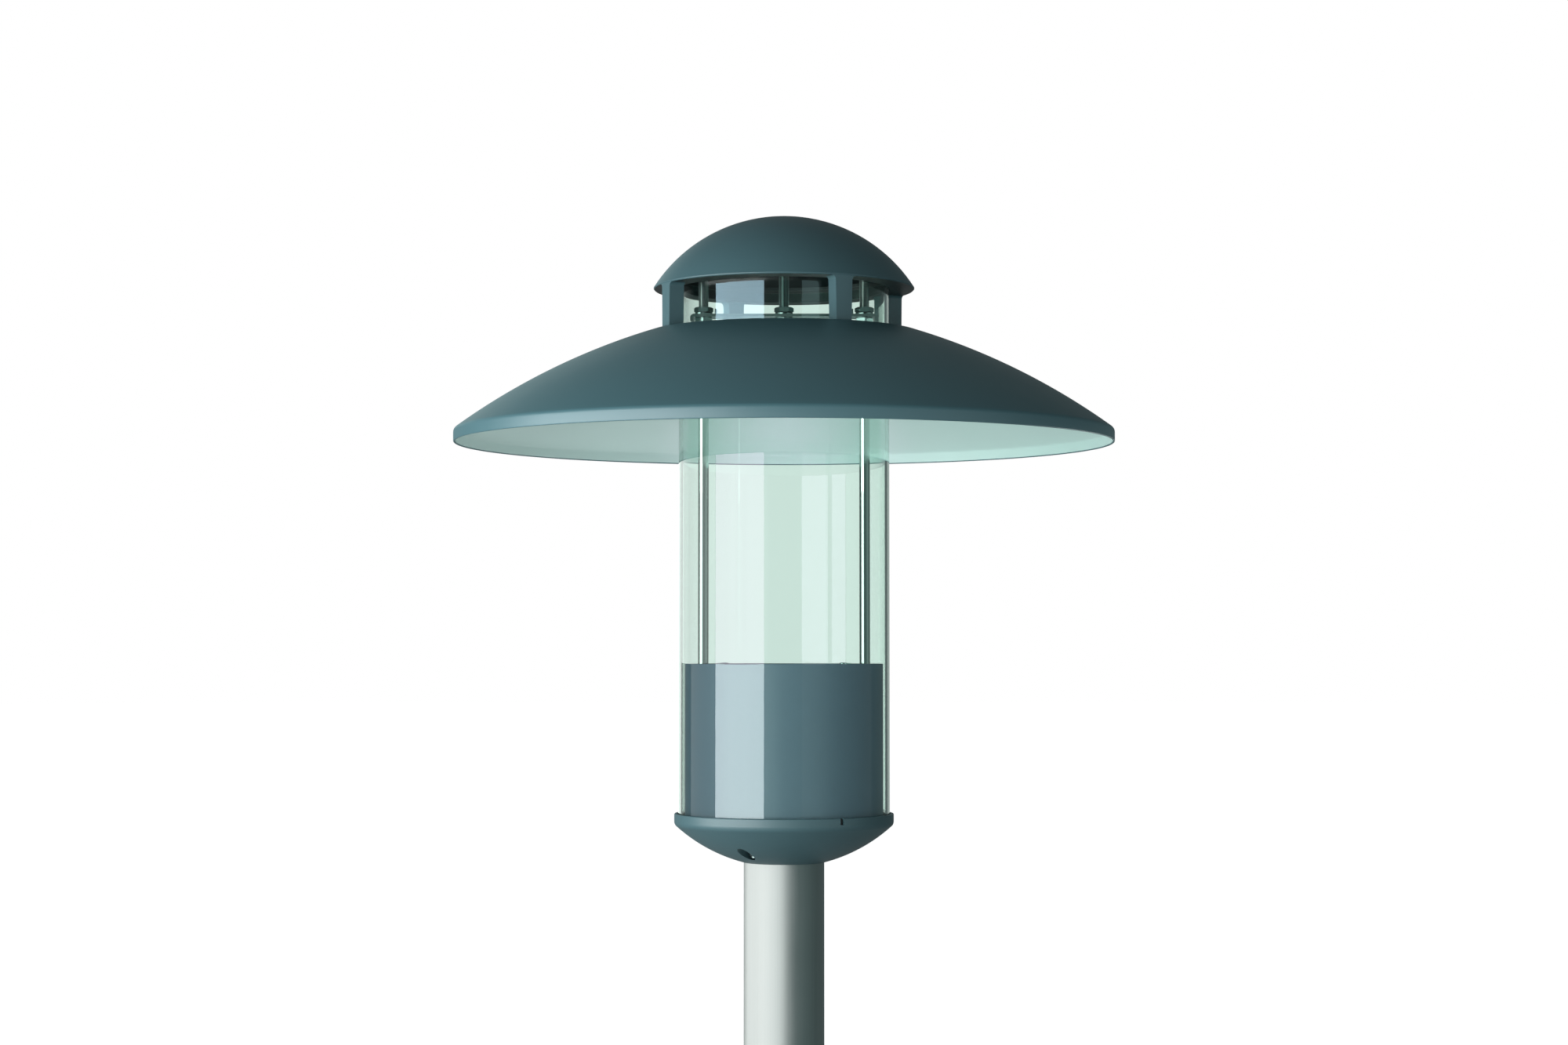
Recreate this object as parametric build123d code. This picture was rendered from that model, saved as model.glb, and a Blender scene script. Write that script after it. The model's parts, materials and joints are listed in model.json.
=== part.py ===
from build123d import *
from math import cos, radians, sin, sqrt
import os

# Mushroom bollard light, millimetres, +Z up, origin on the ground at the centre of the base flange.
# Angles are measured from the front (the -Y side), positive towards +X.

# Post and base flange
POST_DIAMETER = 76.1
POST_WALL = 2.0
POST_EXPOSED = 378.0
POST_ENTRY = 62.0
BASE_DIAMETER = 200.0
BASE_THICKNESS = 10.0
BASE_CHAMFER = 1.5
ANCHOR_COUNT = 4
ANCHOR_HOLE = 14.0
ANCHOR_EDGE = 25.0
ANCHOR_ANGLE = 45.0
CABLE_HOLE = 60.0
WELD_LEG = 4.0
WELD_THROAT = 0.35

# Glass tube
GLASS_DIAMETER = 200.0
GLASS_WALL = 4.0
GLASS_LENGTH = 512.0
GLASS_EDGE = 0.8
GLASS_CLEARANCE = 1.0
LOWER_SEAL = 3.0
UPPER_SEAL = 2.5
SEAL_CLEARANCE = 0.2
SEAL_FIT = 0.1

# Bowl casting
BOWL_RADIUS = 152.0
BOWL_WALL = 6.0
LIP_WALL = 2.7
LIP_BAND = 10.0
LIP_CHAMFER = 0.6
LIP_ROUNDING = 6.0
GROOVE_DEPTH = 10.0
SHELF_DROP = 4.0
SHELF_WIDTH = 14.5
HUB_WALL = 7.6
HUB_CAP = 5.0
POST_CLEARANCE = 0.35
SET_SCREW_COUNT = 3
SET_SCREW_THREAD = 8.0
SET_SCREW_LENGTH = 16.0
SET_SCREW_POINT = 1.0
SET_SCREW_KEY = 4.0
SET_SCREW_KEY_DEPTH = 4.8
SET_SCREW_ANGLE = -31.5
SET_SCREW_HEIGHT = 11.0
POCKET_DIAMETER = 12.0
POCKET_WALL = 4.0
DRAIN_COUNT = 3
DRAIN_ANGLE = 31.0
DRAIN_WIDTH = 3.8
DRAIN_DEPTH = 6.0
ROD_BOSS_WALL = 5.0
ROD_THREAD_DEPTH = 14.0
GROMMET_HOLE = 20.0

# Gear housing and its lid
HOUSING_GAP = 2.25
HOUSING_WALL = 2.5
HOUSING_HEIGHT = 145.0
HOUSING_FLOOR = 3.0
FLOOR_WIDTH = 11.0
FLOOR_NUT_GAP = 0.7
HOUSING_SCREW = 4.0
HOUSING_SCREW_COUNT = 4
HOUSING_SCREW_LENGTH = 10.0
SCREW_ANGLE = 45.0
LID_RECESS = 1.5
LID_THICKNESS = 8.0
LID_CLEARANCE = 0.3
LID_GASKET = 1.5
LEDGE_WIDTH = 4.2
LEDGE_THICKNESS = 4.0
LID_SCREW = 4.0
LID_SCREW_COUNT = 4
LID_SCREW_LENGTH = 16.0
LID_BOSS_WALL = 3.0
LID_BOSS_DEPTH = 12.0
LENS_DIAMETER = 120.0
LENS_THICKNESS = 4.0
LENS_SEAL = 0.8
LENS_LEDGE = 5.0
LENS_CLEARANCE = 0.4

# Light source and gear
HEAT_SINK_DIAMETER = 124.0
HEAT_SINK_CUP = 9.0
HEAT_SINK_WALL = 10.0
HEAT_SINK_PLATE = 4.0
FIN_COUNT = 9
FIN_HEIGHT = 20.0
FIN_THICKNESS = 2.4
FIN_GAP = 1.0
SINK_SCREW_COUNT = 3
SINK_SCREW_BITE = 2.4
BOARD_THICKNESS = 1.6
BOARD_MARGIN = 1.5
CHIP_SIZE = 3.6
CHIP_HEIGHT = 1.0
CHIP_RING_COUNT = 3
CHIP_RING_PITCH = 14.0
CHIPS_IN_FIRST_RING = 6
TRAY_THICKNESS = 1.5
TRAY_ROD_GAP = 3.5
DRIVER_SIZE = (88.0, 34.0, 28.0)
DRIVER_CORNER = 3.4
DRIVER_EDGE = 1.4
DRIVER_PLACE = 35.5
TERMINAL_SIZE = (42.0, 18.0, 20.0)
TERMINAL_WAYS_COUNT = 5
TERMINAL_WELL = 4.7
TERMINAL_WELL_DEPTH = 10.0
TERMINAL_ENTRY = 4.2
TERMINAL_ENTRY_DEPTH = 5.4
TERMINAL_ENTRY_HEIGHT = 6.0
TERMINAL_PLACE = (-24.0, -42.0)
SURGE_SIZE = (34.0, 20.0, 26.0)
SURGE_CORNER = 2.4
SURGE_PLACE = (22.0, -42.0)
TRAY_SCREW = 4.0
TRAY_SCREW_LENGTH = 5.0
TRAY_SCREW_COUNT = 3

# Rods, crossbar and central stud
ROD_DIAMETER = 10.0
ROD_EDGE = 14.65
ROD_PROJECTION = 34.0
ROD_CHAMFER = 1.0
THREAD_CLEARANCE = 0.05
CROSSBAR_DROP = 24.0
CROSSBAR_WIDTH = 24.0
CROSSBAR_THICKNESS = 2.5
CROSSBAR_NUT_GAP = 0.5
CROSSBAR_BEND = 3.5
CROSSBAR_LIP = 6.5
TAB_GAP = 1.5
TAB_HEIGHT = 5.5
TAB_THICKNESS = 1.8
TAB_WIDTH = 9.0
NUT_FLATS = 1.6
NUT_THICKNESS = 0.5
NUT_CORNERS = 1.16
SPRING_WASHER_DIAMETER = 17.0
SPRING_WASHER_THICKNESS = 2.2
SPRING_WASHER_SPLIT = 1.2
STUD_TAIL = 6.0
STUD_ENGAGEMENT = 20.0
GROMMET_WALL = 3.0
GROMMET_FLANGE = 1.5
GROMMET_LIP = 2.0

# Dome with its four legs
DOME_RADIUS = 147.0
DOME_OVERHANG = 24.0
DOME_WALL = 4.0
DOME_BAND = 1.4
DOME_EDGE = 0.7
DOME_FLANGE = 6.0
DOME_CLEARANCE = 0.8
SOCKET_DEPTH = 11.0
SOCKET_WALL = 4.0
SOCKET_LIP = 3.0
DOME_BOSS_DIAMETER = 24.0
DOME_BOSS_LENGTH = 38.0
LEG_COUNT = 4
LEG_ANGLE = 26.5
LEG_HEIGHT = 41.3
LEG_DEPTH = 14.6
LEG_INSET = 0.5
LEG_WIDTH = 17.0
LEG_FOOT = 15.6
LEG_CORNER = 4.0

# Shade
SHADE_DIAMETER = 625.0
SHADE_THICKNESS = 2.0
SHADE_DEPTH = 105.8
SHADE_BAND = 11.5
SHADE_CORNER = 5.0
SHADE_ARC = 630.0
SEAT_MARGIN = 4.2
SEAT_CORNER = 5.0
SHADE_GAP = 1.5
SHADE_SCREW = 6.0
SHADE_SCREW_LENGTH = 14.0
SHADE_SCREW_HOLE = 6.6
SHADE_WASHER_DIAMETER = 13.0
SHADE_WASHER_THICKNESS = 1.6

# Heads and holes shared by all the screws, as parts of their thread
HEAD_DIAMETER = 1.9
HEAD_HEIGHT = 0.6
HEAD_ROUNDING = 0.27
SHANK_POINT = 0.1
SOCKET_FLATS = 0.7
SOCKET_FLOOR = 0.24
SCREW_HOLE = 1.1
TAPPED_EXTRA = 1.5

# Radii worked out from the glass
post_radius = POST_DIAMETER / 2
glass_outer = GLASS_DIAMETER / 2
glass_inner = glass_outer - GLASS_WALL
groove_outer = glass_outer + GLASS_CLEARANCE
groove_inner = glass_inner - GLASS_CLEARANCE
lip_radius = groove_outer + LIP_WALL
housing_radius = glass_inner - HOUSING_GAP
housing_bore = housing_radius - HOUSING_WALL
rod_radius = ROD_DIAMETER / 2
rod_place = housing_bore - ROD_EDGE
dome_rim = glass_outer + DOME_OVERHANG
leg_outer = dome_rim - LEG_INSET
leg_inner = leg_outer - LEG_DEPTH
leg_screw_place = (leg_outer + leg_inner) / 2
seat_radius = dome_rim + SEAT_MARGIN
hub_bore = post_radius + POST_CLEARANCE
hub_radius = hub_bore + HUB_WALL
nut_flat = ROD_DIAMETER * NUT_FLATS / 2
nut_corner = nut_flat * NUT_CORNERS
nut_height = ROD_DIAMETER * NUT_THICKNESS

# Levels worked out from the ground up
bowl_bottom = BASE_THICKNESS + POST_EXPOSED
below = bowl_bottom - BOWL_RADIUS
bowl_centre = bowl_bottom + sqrt(BOWL_RADIUS ** 2 - hub_bore ** 2)
lip_bottom = bowl_centre - sqrt(BOWL_RADIUS ** 2 - lip_radius ** 2)
lip_top = lip_bottom + LIP_BAND
groove_floor = lip_top - GROOVE_DEPTH
shelf_top = lip_top - SHELF_DROP
shelf_inner = groove_inner - SHELF_WIDTH
post_top = bowl_bottom + POST_ENTRY
hub_top = post_top + HUB_CAP
glass_bottom = groove_floor + LOWER_SEAL
glass_top = glass_bottom + GLASS_LENGTH
socket_top = glass_top + UPPER_SEAL
rim_bottom = socket_top - SOCKET_DEPTH
rim_top = rim_bottom + DOME_BAND
dome_centre = rim_top - sqrt(DOME_RADIUS ** 2 - dome_rim ** 2)
dome_ceiling = dome_centre + DOME_RADIUS - DOME_WALL
boss_bottom = dome_ceiling - DOME_BOSS_LENGTH
seat_top = rim_bottom - LEG_HEIGHT
shade_bottom = seat_top - SHADE_DEPTH
housing_top = shelf_top + HOUSING_HEIGHT
lid_top = housing_top - LID_RECESS
lid_bottom = lid_top - LID_THICKNESS
bar_top = rim_bottom - CROSSBAR_DROP
bar_bottom = bar_top - CROSSBAR_THICKNESS
rod_bottom = shelf_top - ROD_THREAD_DEPTH
tray_radius = rod_place - rod_radius - TRAY_ROD_GAP
tray_top = hub_top + TRAY_THICKNESS

# Places of the screws
lid_boss_radius = LID_SCREW / 2 + LID_BOSS_WALL
lid_screw_place = housing_bore - LEDGE_WIDTH - lid_boss_radius
housing_screw_place = housing_bore - HOUSING_SCREW * HEAD_DIAMETER / 2 - LID_CLEARANCE
sink_radius = HEAT_SINK_DIAMETER / 2
sink_screw_place = sink_radius - HEAT_SINK_WALL / 2
tray_screw_place = (hub_radius + GROMMET_HOLE / 2) / 2


def polar(angle, radius, height=0.0):
    """Frame at an angle from the front, with its X axis pointing outwards."""
    return Rot(0, 0, angle - 90) * Pos(radius, 0, height)


def spread(count, first=0.0):
    """Angles of a number of places set evenly round the axis."""
    return [first + 360 / count * step for step in range(count)]


UPRIGHT = (Align.CENTER, Align.CENTER, Align.MIN)


def disc(radius, bottom, top):
    """Upright cylinder between two levels."""
    return Pos(0, 0, bottom) * Cylinder(radius, top - bottom, align=UPRIGHT)


def ring(outer, inner, bottom, top):
    """Upright tube between two levels."""
    return disc(outer, bottom, top) - disc(inner, bottom, top)


def block(length, width, bottom, top):
    """Upright box between two levels, centred on the axis."""
    return Pos(0, 0, bottom) * Box(length, width, top - bottom, align=UPRIGHT)


def turned(points):
    """Solid turned from a closed outline of radius and level."""
    outline = Polyline([(radius, 0, level) for radius, level in points], close=True)
    return revolve(make_face(outline), Axis.Z)


def group(solids):
    """Separate like solids kept in one node."""
    return Compound(children=list(solids))


def screw(thread, length):
    """Button-head screw with a hexagon socket, the underside of its head at level 0."""
    head = disc(thread * HEAD_DIAMETER / 2, 0, thread * HEAD_HEIGHT)
    head = fillet(head.edges().sort_by(Axis.Z)[-1], thread * HEAD_ROUNDING)
    shank = disc(thread / 2 - THREAD_CLEARANCE, -length, 0)
    shank = chamfer(shank.edges().sort_by(Axis.Z)[0], thread * SHANK_POINT)
    socket = extrude(RegularPolygon(thread * SOCKET_FLATS / 2, 6, major_radius=False), thread * HEAD_HEIGHT)
    return head + shank - Pos(0, 0, thread * SOCKET_FLOOR) * socket


def thin_nut(bottom):
    """Thin hexagon nut on the rods' thread."""
    blank = extrude(RegularPolygon(nut_flat, 6, major_radius=False), nut_height)
    bevel = (nut_corner - nut_flat) / 2
    crown = turned([
        (0, 0),
        (nut_flat, 0),
        (nut_corner, bevel),
        (nut_corner, nut_height - bevel),
        (nut_flat, nut_height),
        (0, nut_height),
    ])
    nut = blank & crown
    return Pos(0, 0, bottom) * (nut - disc(rod_radius + THREAD_CLEARANCE, 0, nut_height))


def spring_washer(bottom):
    """Split spring washer."""
    washer = ring(SPRING_WASHER_DIAMETER / 2, rod_radius + 2 * THREAD_CLEARANCE, 0, SPRING_WASHER_THICKNESS)
    split = Pos(0, -SPRING_WASHER_DIAMETER / 4, 0) * block(
        SPRING_WASHER_SPLIT, SPRING_WASHER_DIAMETER / 2, 0, SPRING_WASHER_THICKNESS
    )
    return Pos(0, 0, bottom) * (washer - split)


def rod_columns():
    """Places of the two side rods and the central stud."""
    return [Pos(-rod_place, 0, 0), Pos(0, 0, 0), Pos(rod_place, 0, 0)]


def grommet(bore, hole, bottom, top):
    """Rubber grommet seated in a hole between two faces."""
    sleeve = ring(hole - THREAD_CLEARANCE, bore, bottom - GROMMET_FLANGE, top + GROMMET_FLANGE)
    lower = ring(hole + GROMMET_LIP, bore, bottom - GROMMET_FLANGE, bottom)
    upper = ring(hole + GROMMET_LIP, bore, top, top + GROMMET_FLANGE)
    return sleeve + lower + upper


def base_flange():
    """Ground plate with its anchor holes and the weld bead round the post."""
    plate = disc(BASE_DIAMETER / 2, 0, BASE_THICKNESS)
    plate = chamfer(plate.edges().sort_by(Axis.Z)[-1], BASE_CHAMFER)
    inside = post_radius + THREAD_CLEARANCE
    bead = turned([
        (inside, BASE_THICKNESS),
        (inside + WELD_LEG, BASE_THICKNESS),
        (inside + WELD_LEG * WELD_THROAT, BASE_THICKNESS + WELD_LEG * WELD_THROAT),
        (inside, BASE_THICKNESS + WELD_LEG),
    ])
    plate = plate + bead - disc(CABLE_HOLE / 2, 0, BASE_THICKNESS)
    for angle in spread(ANCHOR_COUNT, ANCHOR_ANGLE):
        plate -= polar(angle, BASE_DIAMETER / 2 - ANCHOR_EDGE) * disc(ANCHOR_HOLE / 2, 0, BASE_THICKNESS)
    return plate


def post_tube():
    """Round tube from the ground plate up to the cap of the bowl's hub."""
    return ring(post_radius, post_radius - POST_WALL, BASE_THICKNESS, post_top)


def bowl_shell():
    """Spherical underside, raised lip and glass groove of the bowl."""
    cap = Pos(0, 0, bowl_centre) * Sphere(BOWL_RADIUS)
    body = cap & disc(lip_radius, below, shelf_top)
    corner = body.edges().filter_by(GeomType.CIRCLE).sort_by(Axis.Z)[-2]
    body = fillet(corner, LIP_ROUNDING)
    lip = ring(lip_radius, groove_inner, shelf_top - LIP_CHAMFER, lip_top)
    lip = chamfer(lip.edges().group_by(Axis.Z)[-1], LIP_CHAMFER)
    body = body + lip - ring(groove_outer, groove_inner, groove_floor, lip_top)
    hollow = Pos(0, 0, bowl_centre) * Sphere(BOWL_RADIUS - BOWL_WALL)
    return body - (hollow & disc(shelf_inner, bowl_bottom, shelf_top))


def bowl():
    """Casting that sits on the post and carries glass, housing and rods."""
    outside = (Pos(0, 0, bowl_centre) * Sphere(BOWL_RADIUS)) & disc(lip_radius, below, hub_top)
    body = bowl_shell()
    body += disc(hub_radius, bowl_bottom - HUB_WALL, hub_top) & outside
    pocket_radius = POCKET_DIAMETER / 2
    pocket_level = bowl_bottom + SET_SCREW_HEIGHT
    for angle in spread(SET_SCREW_COUNT, SET_SCREW_ANGLE):
        boss = Rot(0, 90, 0) * disc(pocket_radius + POCKET_WALL, hub_bore, lip_radius)
        boss = polar(angle, 0, pocket_level) * boss
        body += boss & outside & disc(lip_radius, bowl_bottom, shelf_top)
    for side in (-1, 1):
        column = Pos(side * rod_place, 0, 0) * disc(rod_radius + ROD_BOSS_WALL, bowl_bottom, shelf_top)
        body += column & outside
    for angle in spread(SET_SCREW_COUNT, SET_SCREW_ANGLE):
        pocket = Rot(0, 90, 0) * disc(pocket_radius, hub_radius, lip_radius)
        thread = Rot(0, 90, 0) * disc(SET_SCREW_THREAD / 2, 0, lip_radius)
        body -= polar(angle, 0, pocket_level) * (pocket + thread)
    for side in (-1, 1):
        body -= Pos(side * rod_place, 0, 0) * disc(rod_radius + THREAD_CLEARANCE, rod_bottom, shelf_top)
    for angle in spread(DRAIN_COUNT, DRAIN_ANGLE):
        notch = block(3 * LIP_WALL, DRAIN_WIDTH, lip_top - DRAIN_DEPTH, lip_top)
        body -= polar(angle, lip_radius) * notch
    for angle in spread(HOUSING_SCREW_COUNT, SCREW_ANGLE):
        depth = HOUSING_SCREW_LENGTH - HOUSING_FLOOR + TAPPED_EXTRA
        body -= polar(angle, housing_screw_place) * disc(HOUSING_SCREW / 2, shelf_top - depth, shelf_top)
    for angle in spread(TRAY_SCREW_COUNT):
        body -= polar(angle, tray_screw_place) * disc(TRAY_SCREW / 2, post_top, hub_top)
    body -= disc(hub_bore, below, post_top)
    return body - disc(GROMMET_HOLE / 2, post_top, hub_top)


def set_screws():
    """Cup-point set screws that clamp the post, one in each pocket."""
    pin = disc(SET_SCREW_THREAD / 2 - THREAD_CLEARANCE, post_radius, post_radius + SET_SCREW_LENGTH)
    pin = chamfer(pin.edges().group_by(Axis.Z)[0], SET_SCREW_POINT)
    key = extrude(RegularPolygon(SET_SCREW_KEY / 2, 6, major_radius=False), SET_SCREW_KEY_DEPTH)
    pin -= Pos(0, 0, post_radius + SET_SCREW_LENGTH - SET_SCREW_KEY_DEPTH) * key
    pin = Pos(0, 0, bowl_bottom + SET_SCREW_HEIGHT) * Rot(0, 90, 0) * pin
    return group(polar(angle, 0) * pin for angle in spread(SET_SCREW_COUNT, SET_SCREW_ANGLE))


def cable_grommet():
    """Grommet for the supply cable in the cap of the hub."""
    return grommet(GROMMET_HOLE / 4, GROMMET_HOLE / 2, post_top, hub_top)


def lower_glass_seal():
    """Rubber channel round the lower end of the glass, in the bowl's groove."""
    outside = groove_outer - SEAL_FIT
    inside = groove_inner + SEAL_FIT
    seal = ring(outside, inside, groove_floor, glass_bottom)
    seal += ring(outside, glass_outer + SEAL_FIT, groove_floor, lip_top - SEAL_CLEARANCE)
    return seal + ring(glass_inner - SEAL_FIT, inside, groove_floor, shelf_top - SEAL_CLEARANCE)


def upper_glass_seal():
    """Rubber ring between the glass and the dome's socket."""
    return ring(glass_outer + SEAL_CLEARANCE, glass_inner - SEAL_CLEARANCE, glass_top, socket_top)


def glass_tube():
    """Clear tube with eased edges."""
    tube = ring(glass_outer, glass_inner, glass_bottom, glass_top)
    return chamfer(tube.edges().filter_by(GeomType.CIRCLE), GLASS_EDGE)


def lid_ledge():
    """Level of the face that carries the lid's gasket."""
    return lid_bottom - LID_GASKET


def gear_housing():
    """Can with an inward floor flange, an upper ledge and the lid's screw bosses."""
    can = ring(housing_radius, housing_bore, shelf_top, housing_top)
    can += ring(housing_bore, housing_bore - FLOOR_WIDTH, shelf_top, shelf_top + HOUSING_FLOOR)
    can += ring(housing_bore, housing_bore - LEDGE_WIDTH, lid_ledge() - LEDGE_THICKNESS, lid_ledge())
    for angle in spread(LID_SCREW_COUNT, SCREW_ANGLE):
        boss = disc(lid_boss_radius, lid_bottom - LID_BOSS_DEPTH, lid_bottom)
        hole = disc(LID_SCREW / 2, lid_bottom - LID_BOSS_DEPTH, lid_bottom)
        web = Pos(lid_boss_radius, 0, 0) * block(
            LEDGE_WIDTH, lid_boss_radius, lid_ledge() - LEDGE_THICKNESS, lid_ledge()
        )
        can += polar(angle, lid_screw_place) * (boss + web)
        can -= polar(angle, lid_screw_place) * hole
    for angle in spread(HOUSING_SCREW_COUNT, SCREW_ANGLE):
        hole = disc(HOUSING_SCREW * SCREW_HOLE / 2, shelf_top, shelf_top + HOUSING_FLOOR)
        can -= polar(angle, housing_screw_place) * hole
    for side in (-1, 1):
        clear = disc(nut_corner + FLOOR_NUT_GAP, shelf_top, shelf_top + HOUSING_FLOOR)
        can -= (Pos(side * rod_place, 0, 0) * clear) & disc(housing_bore, shelf_top, housing_top)
    return can


def housing_screws():
    """Screws that hold the housing down on the bowl."""
    fastener = Pos(0, 0, shelf_top + HOUSING_FLOOR) * screw(HOUSING_SCREW, HOUSING_SCREW_LENGTH)
    angles = spread(HOUSING_SCREW_COUNT, SCREW_ANGLE)
    return group(polar(angle, housing_screw_place) * fastener for angle in angles)


def lid_gasket():
    """Flat ring under the lid, outside the screw bosses."""
    inside = housing_bore - LEDGE_WIDTH + LID_CLEARANCE
    return ring(housing_bore - LID_CLEARANCE, inside, lid_ledge(), lid_bottom)


def housing_lid():
    """Cast lid with the lens opening, the rod holes and the screw holes."""
    lid = disc(housing_bore - LID_CLEARANCE, lid_bottom, lid_top)
    lid = chamfer(lid.edges().sort_by(Axis.Z)[-1], LIP_CHAMFER)
    rebate = LENS_DIAMETER / 2 + LENS_CLEARANCE
    lid -= disc(rebate, lid_top - LENS_THICKNESS - LENS_SEAL, lid_top)
    lid -= disc(LENS_DIAMETER / 2 - LENS_LEDGE, lid_bottom, lid_top)
    for side in (-1, 1):
        lid -= Pos(side * rod_place, 0, 0) * disc(rod_radius + GROMMET_WALL, lid_bottom, lid_top)
    for angle in spread(LID_SCREW_COUNT, SCREW_ANGLE):
        lid -= polar(angle, lid_screw_place) * disc(LID_SCREW * SCREW_HOLE / 2, lid_bottom, lid_top)
    bite = disc(LID_SCREW / 2, lid_bottom, lid_bottom + SINK_SCREW_BITE)
    for angle in spread(SINK_SCREW_COUNT):
        lid -= polar(angle, sink_screw_place) * bite
    return lid


def lid_screws():
    """Screws that hold the lid on the housing's bosses."""
    fastener = Pos(0, 0, lid_top) * screw(LID_SCREW, LID_SCREW_LENGTH)
    return group(polar(angle, lid_screw_place) * fastener for angle in spread(LID_SCREW_COUNT, SCREW_ANGLE))


def rod_grommets():
    """Grommets that seal the rods in the lid."""
    seal = grommet(rod_radius + THREAD_CLEARANCE, rod_radius + GROMMET_WALL, lid_bottom, lid_top)
    return group(Pos(side * rod_place, 0, 0) * seal for side in (-1, 1))


def lens_seal():
    """Flat ring that beds the lens in the lid."""
    bottom = lid_top - LENS_THICKNESS - LENS_SEAL
    return ring(LENS_DIAMETER / 2, LENS_DIAMETER / 2 - LENS_LEDGE, bottom, bottom + LENS_SEAL)


def lens():
    """Round cover glass over the light source."""
    plate = disc(LENS_DIAMETER / 2, lid_top - LENS_THICKNESS, lid_top)
    return chamfer(plate.edges().sort_by(Axis.Z)[-1], GLASS_EDGE / 2)


def heat_sink():
    """Turned cup with straight fins under it, hung from the lid."""
    floor = lid_bottom - HEAT_SINK_CUP
    cup = disc(sink_radius, floor - HEAT_SINK_PLATE, lid_bottom)
    cup -= disc(sink_radius - HEAT_SINK_WALL, floor, lid_bottom)
    pitch = (HEAT_SINK_DIAMETER - FIN_THICKNESS) / FIN_COUNT
    root = floor - HEAT_SINK_PLATE
    fin = block(HEAT_SINK_DIAMETER, FIN_THICKNESS, root - FIN_HEIGHT, root)
    fins = [Pos(0, pitch * (step - (FIN_COUNT - 1) / 2), 0) * fin for step in range(FIN_COUNT)]
    reach = sink_screw_place - LID_SCREW * HEAD_DIAMETER / 2 - FIN_GAP
    inside = disc(reach, root - FIN_HEIGHT, root)
    for blade in fins:
        cup += blade & inside
    for angle in spread(SINK_SCREW_COUNT):
        cup -= polar(angle, sink_screw_place) * disc(LID_SCREW * SCREW_HOLE / 2, root, lid_bottom)
    return cup


def heat_sink_screws():
    """Screws that hold the heat sink under the lid."""
    grip = HEAT_SINK_CUP + HEAT_SINK_PLATE
    fastener = Pos(0, 0, lid_bottom - grip) * Rot(180, 0, 0) * screw(LID_SCREW, grip + SINK_SCREW_BITE)
    return group(polar(angle, sink_screw_place) * fastener for angle in spread(SINK_SCREW_COUNT))


def board_top():
    """Level of the LED board's upper face."""
    return lid_bottom - HEAT_SINK_CUP + BOARD_THICKNESS


def led_board():
    """Round circuit board in the heat sink's cup."""
    return disc(sink_radius - HEAT_SINK_WALL - BOARD_MARGIN, lid_bottom - HEAT_SINK_CUP, board_top())


def led_chips():
    """Square light emitters in rings on the board."""
    chip = block(CHIP_SIZE, CHIP_SIZE, board_top(), board_top() + CHIP_HEIGHT)
    return group(
        polar(angle, CHIP_RING_PITCH * turn) * chip
        for turn in range(1, CHIP_RING_COUNT + 1)
        for angle in spread(CHIPS_IN_FIRST_RING * turn)
    )


def gear_tray():
    """Round sheet plate on the hub that carries the gear."""
    tray = disc(tray_radius, hub_top, tray_top)
    tray -= disc(GROMMET_HOLE / 2 + 2 * GROMMET_LIP, hub_top, tray_top)
    for angle in spread(TRAY_SCREW_COUNT):
        tray -= polar(angle, tray_screw_place) * disc(TRAY_SCREW * SCREW_HOLE / 2, hub_top, tray_top)
    return tray


def tray_screws():
    """Screws that hold the gear tray on the hub."""
    fastener = screw(TRAY_SCREW, TRAY_SCREW_LENGTH)
    return group(polar(angle, tray_screw_place, tray_top) * fastener for angle in spread(TRAY_SCREW_COUNT))


def led_driver():
    """Closed driver case with rounded upright edges."""
    length, width, height = DRIVER_SIZE
    case = block(length, width, tray_top, tray_top + height)
    case = fillet(case.edges().filter_by(Axis.Z), DRIVER_CORNER)
    case = chamfer(case.edges().group_by(Axis.Z)[-1], DRIVER_EDGE)
    return Pos(0, DRIVER_PLACE, 0) * case


def terminal_block():
    """Row of screw terminals with a wire entry and a screw well for each way."""
    length, width, height = TERMINAL_SIZE
    body = block(length, width, tray_top, tray_top + height)
    pitch = length / TERMINAL_WAYS_COUNT
    top = tray_top + height
    well = disc(TERMINAL_WELL / 2, top - TERMINAL_WELL_DEPTH, top)
    entry = Rot(90, 0, 0) * disc(TERMINAL_ENTRY / 2, width / 2 - TERMINAL_ENTRY_DEPTH, width / 2)
    for way in range(TERMINAL_WAYS_COUNT):
        place = pitch * (way - (TERMINAL_WAYS_COUNT - 1) / 2)
        body -= Pos(place, 0, 0) * well
        body -= Pos(place, 0, tray_top + TERMINAL_ENTRY_HEIGHT) * entry
    return Pos(*TERMINAL_PLACE, 0) * body


def surge_protector():
    """Small potted surge protector."""
    length, width, height = SURGE_SIZE
    case = block(length, width, tray_top, tray_top + height)
    case = fillet(case.edges().filter_by(Axis.Z), SURGE_CORNER)
    return Pos(*SURGE_PLACE, 0) * case


def support_rod(side):
    """Long rod from the bowl's boss up through the crossbar."""
    rod = disc(rod_radius, rod_bottom, bar_top + ROD_PROJECTION)
    return Pos(side * rod_place, 0, 0) * chamfer(rod.edges().filter_by(GeomType.CIRCLE), ROD_CHAMFER)


def foot_nuts():
    """Thin nuts that lock the rods on the bowl's bosses."""
    return group(Pos(side * rod_place, 0, 0) * thin_nut(shelf_top) for side in (-1, 1))


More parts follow.
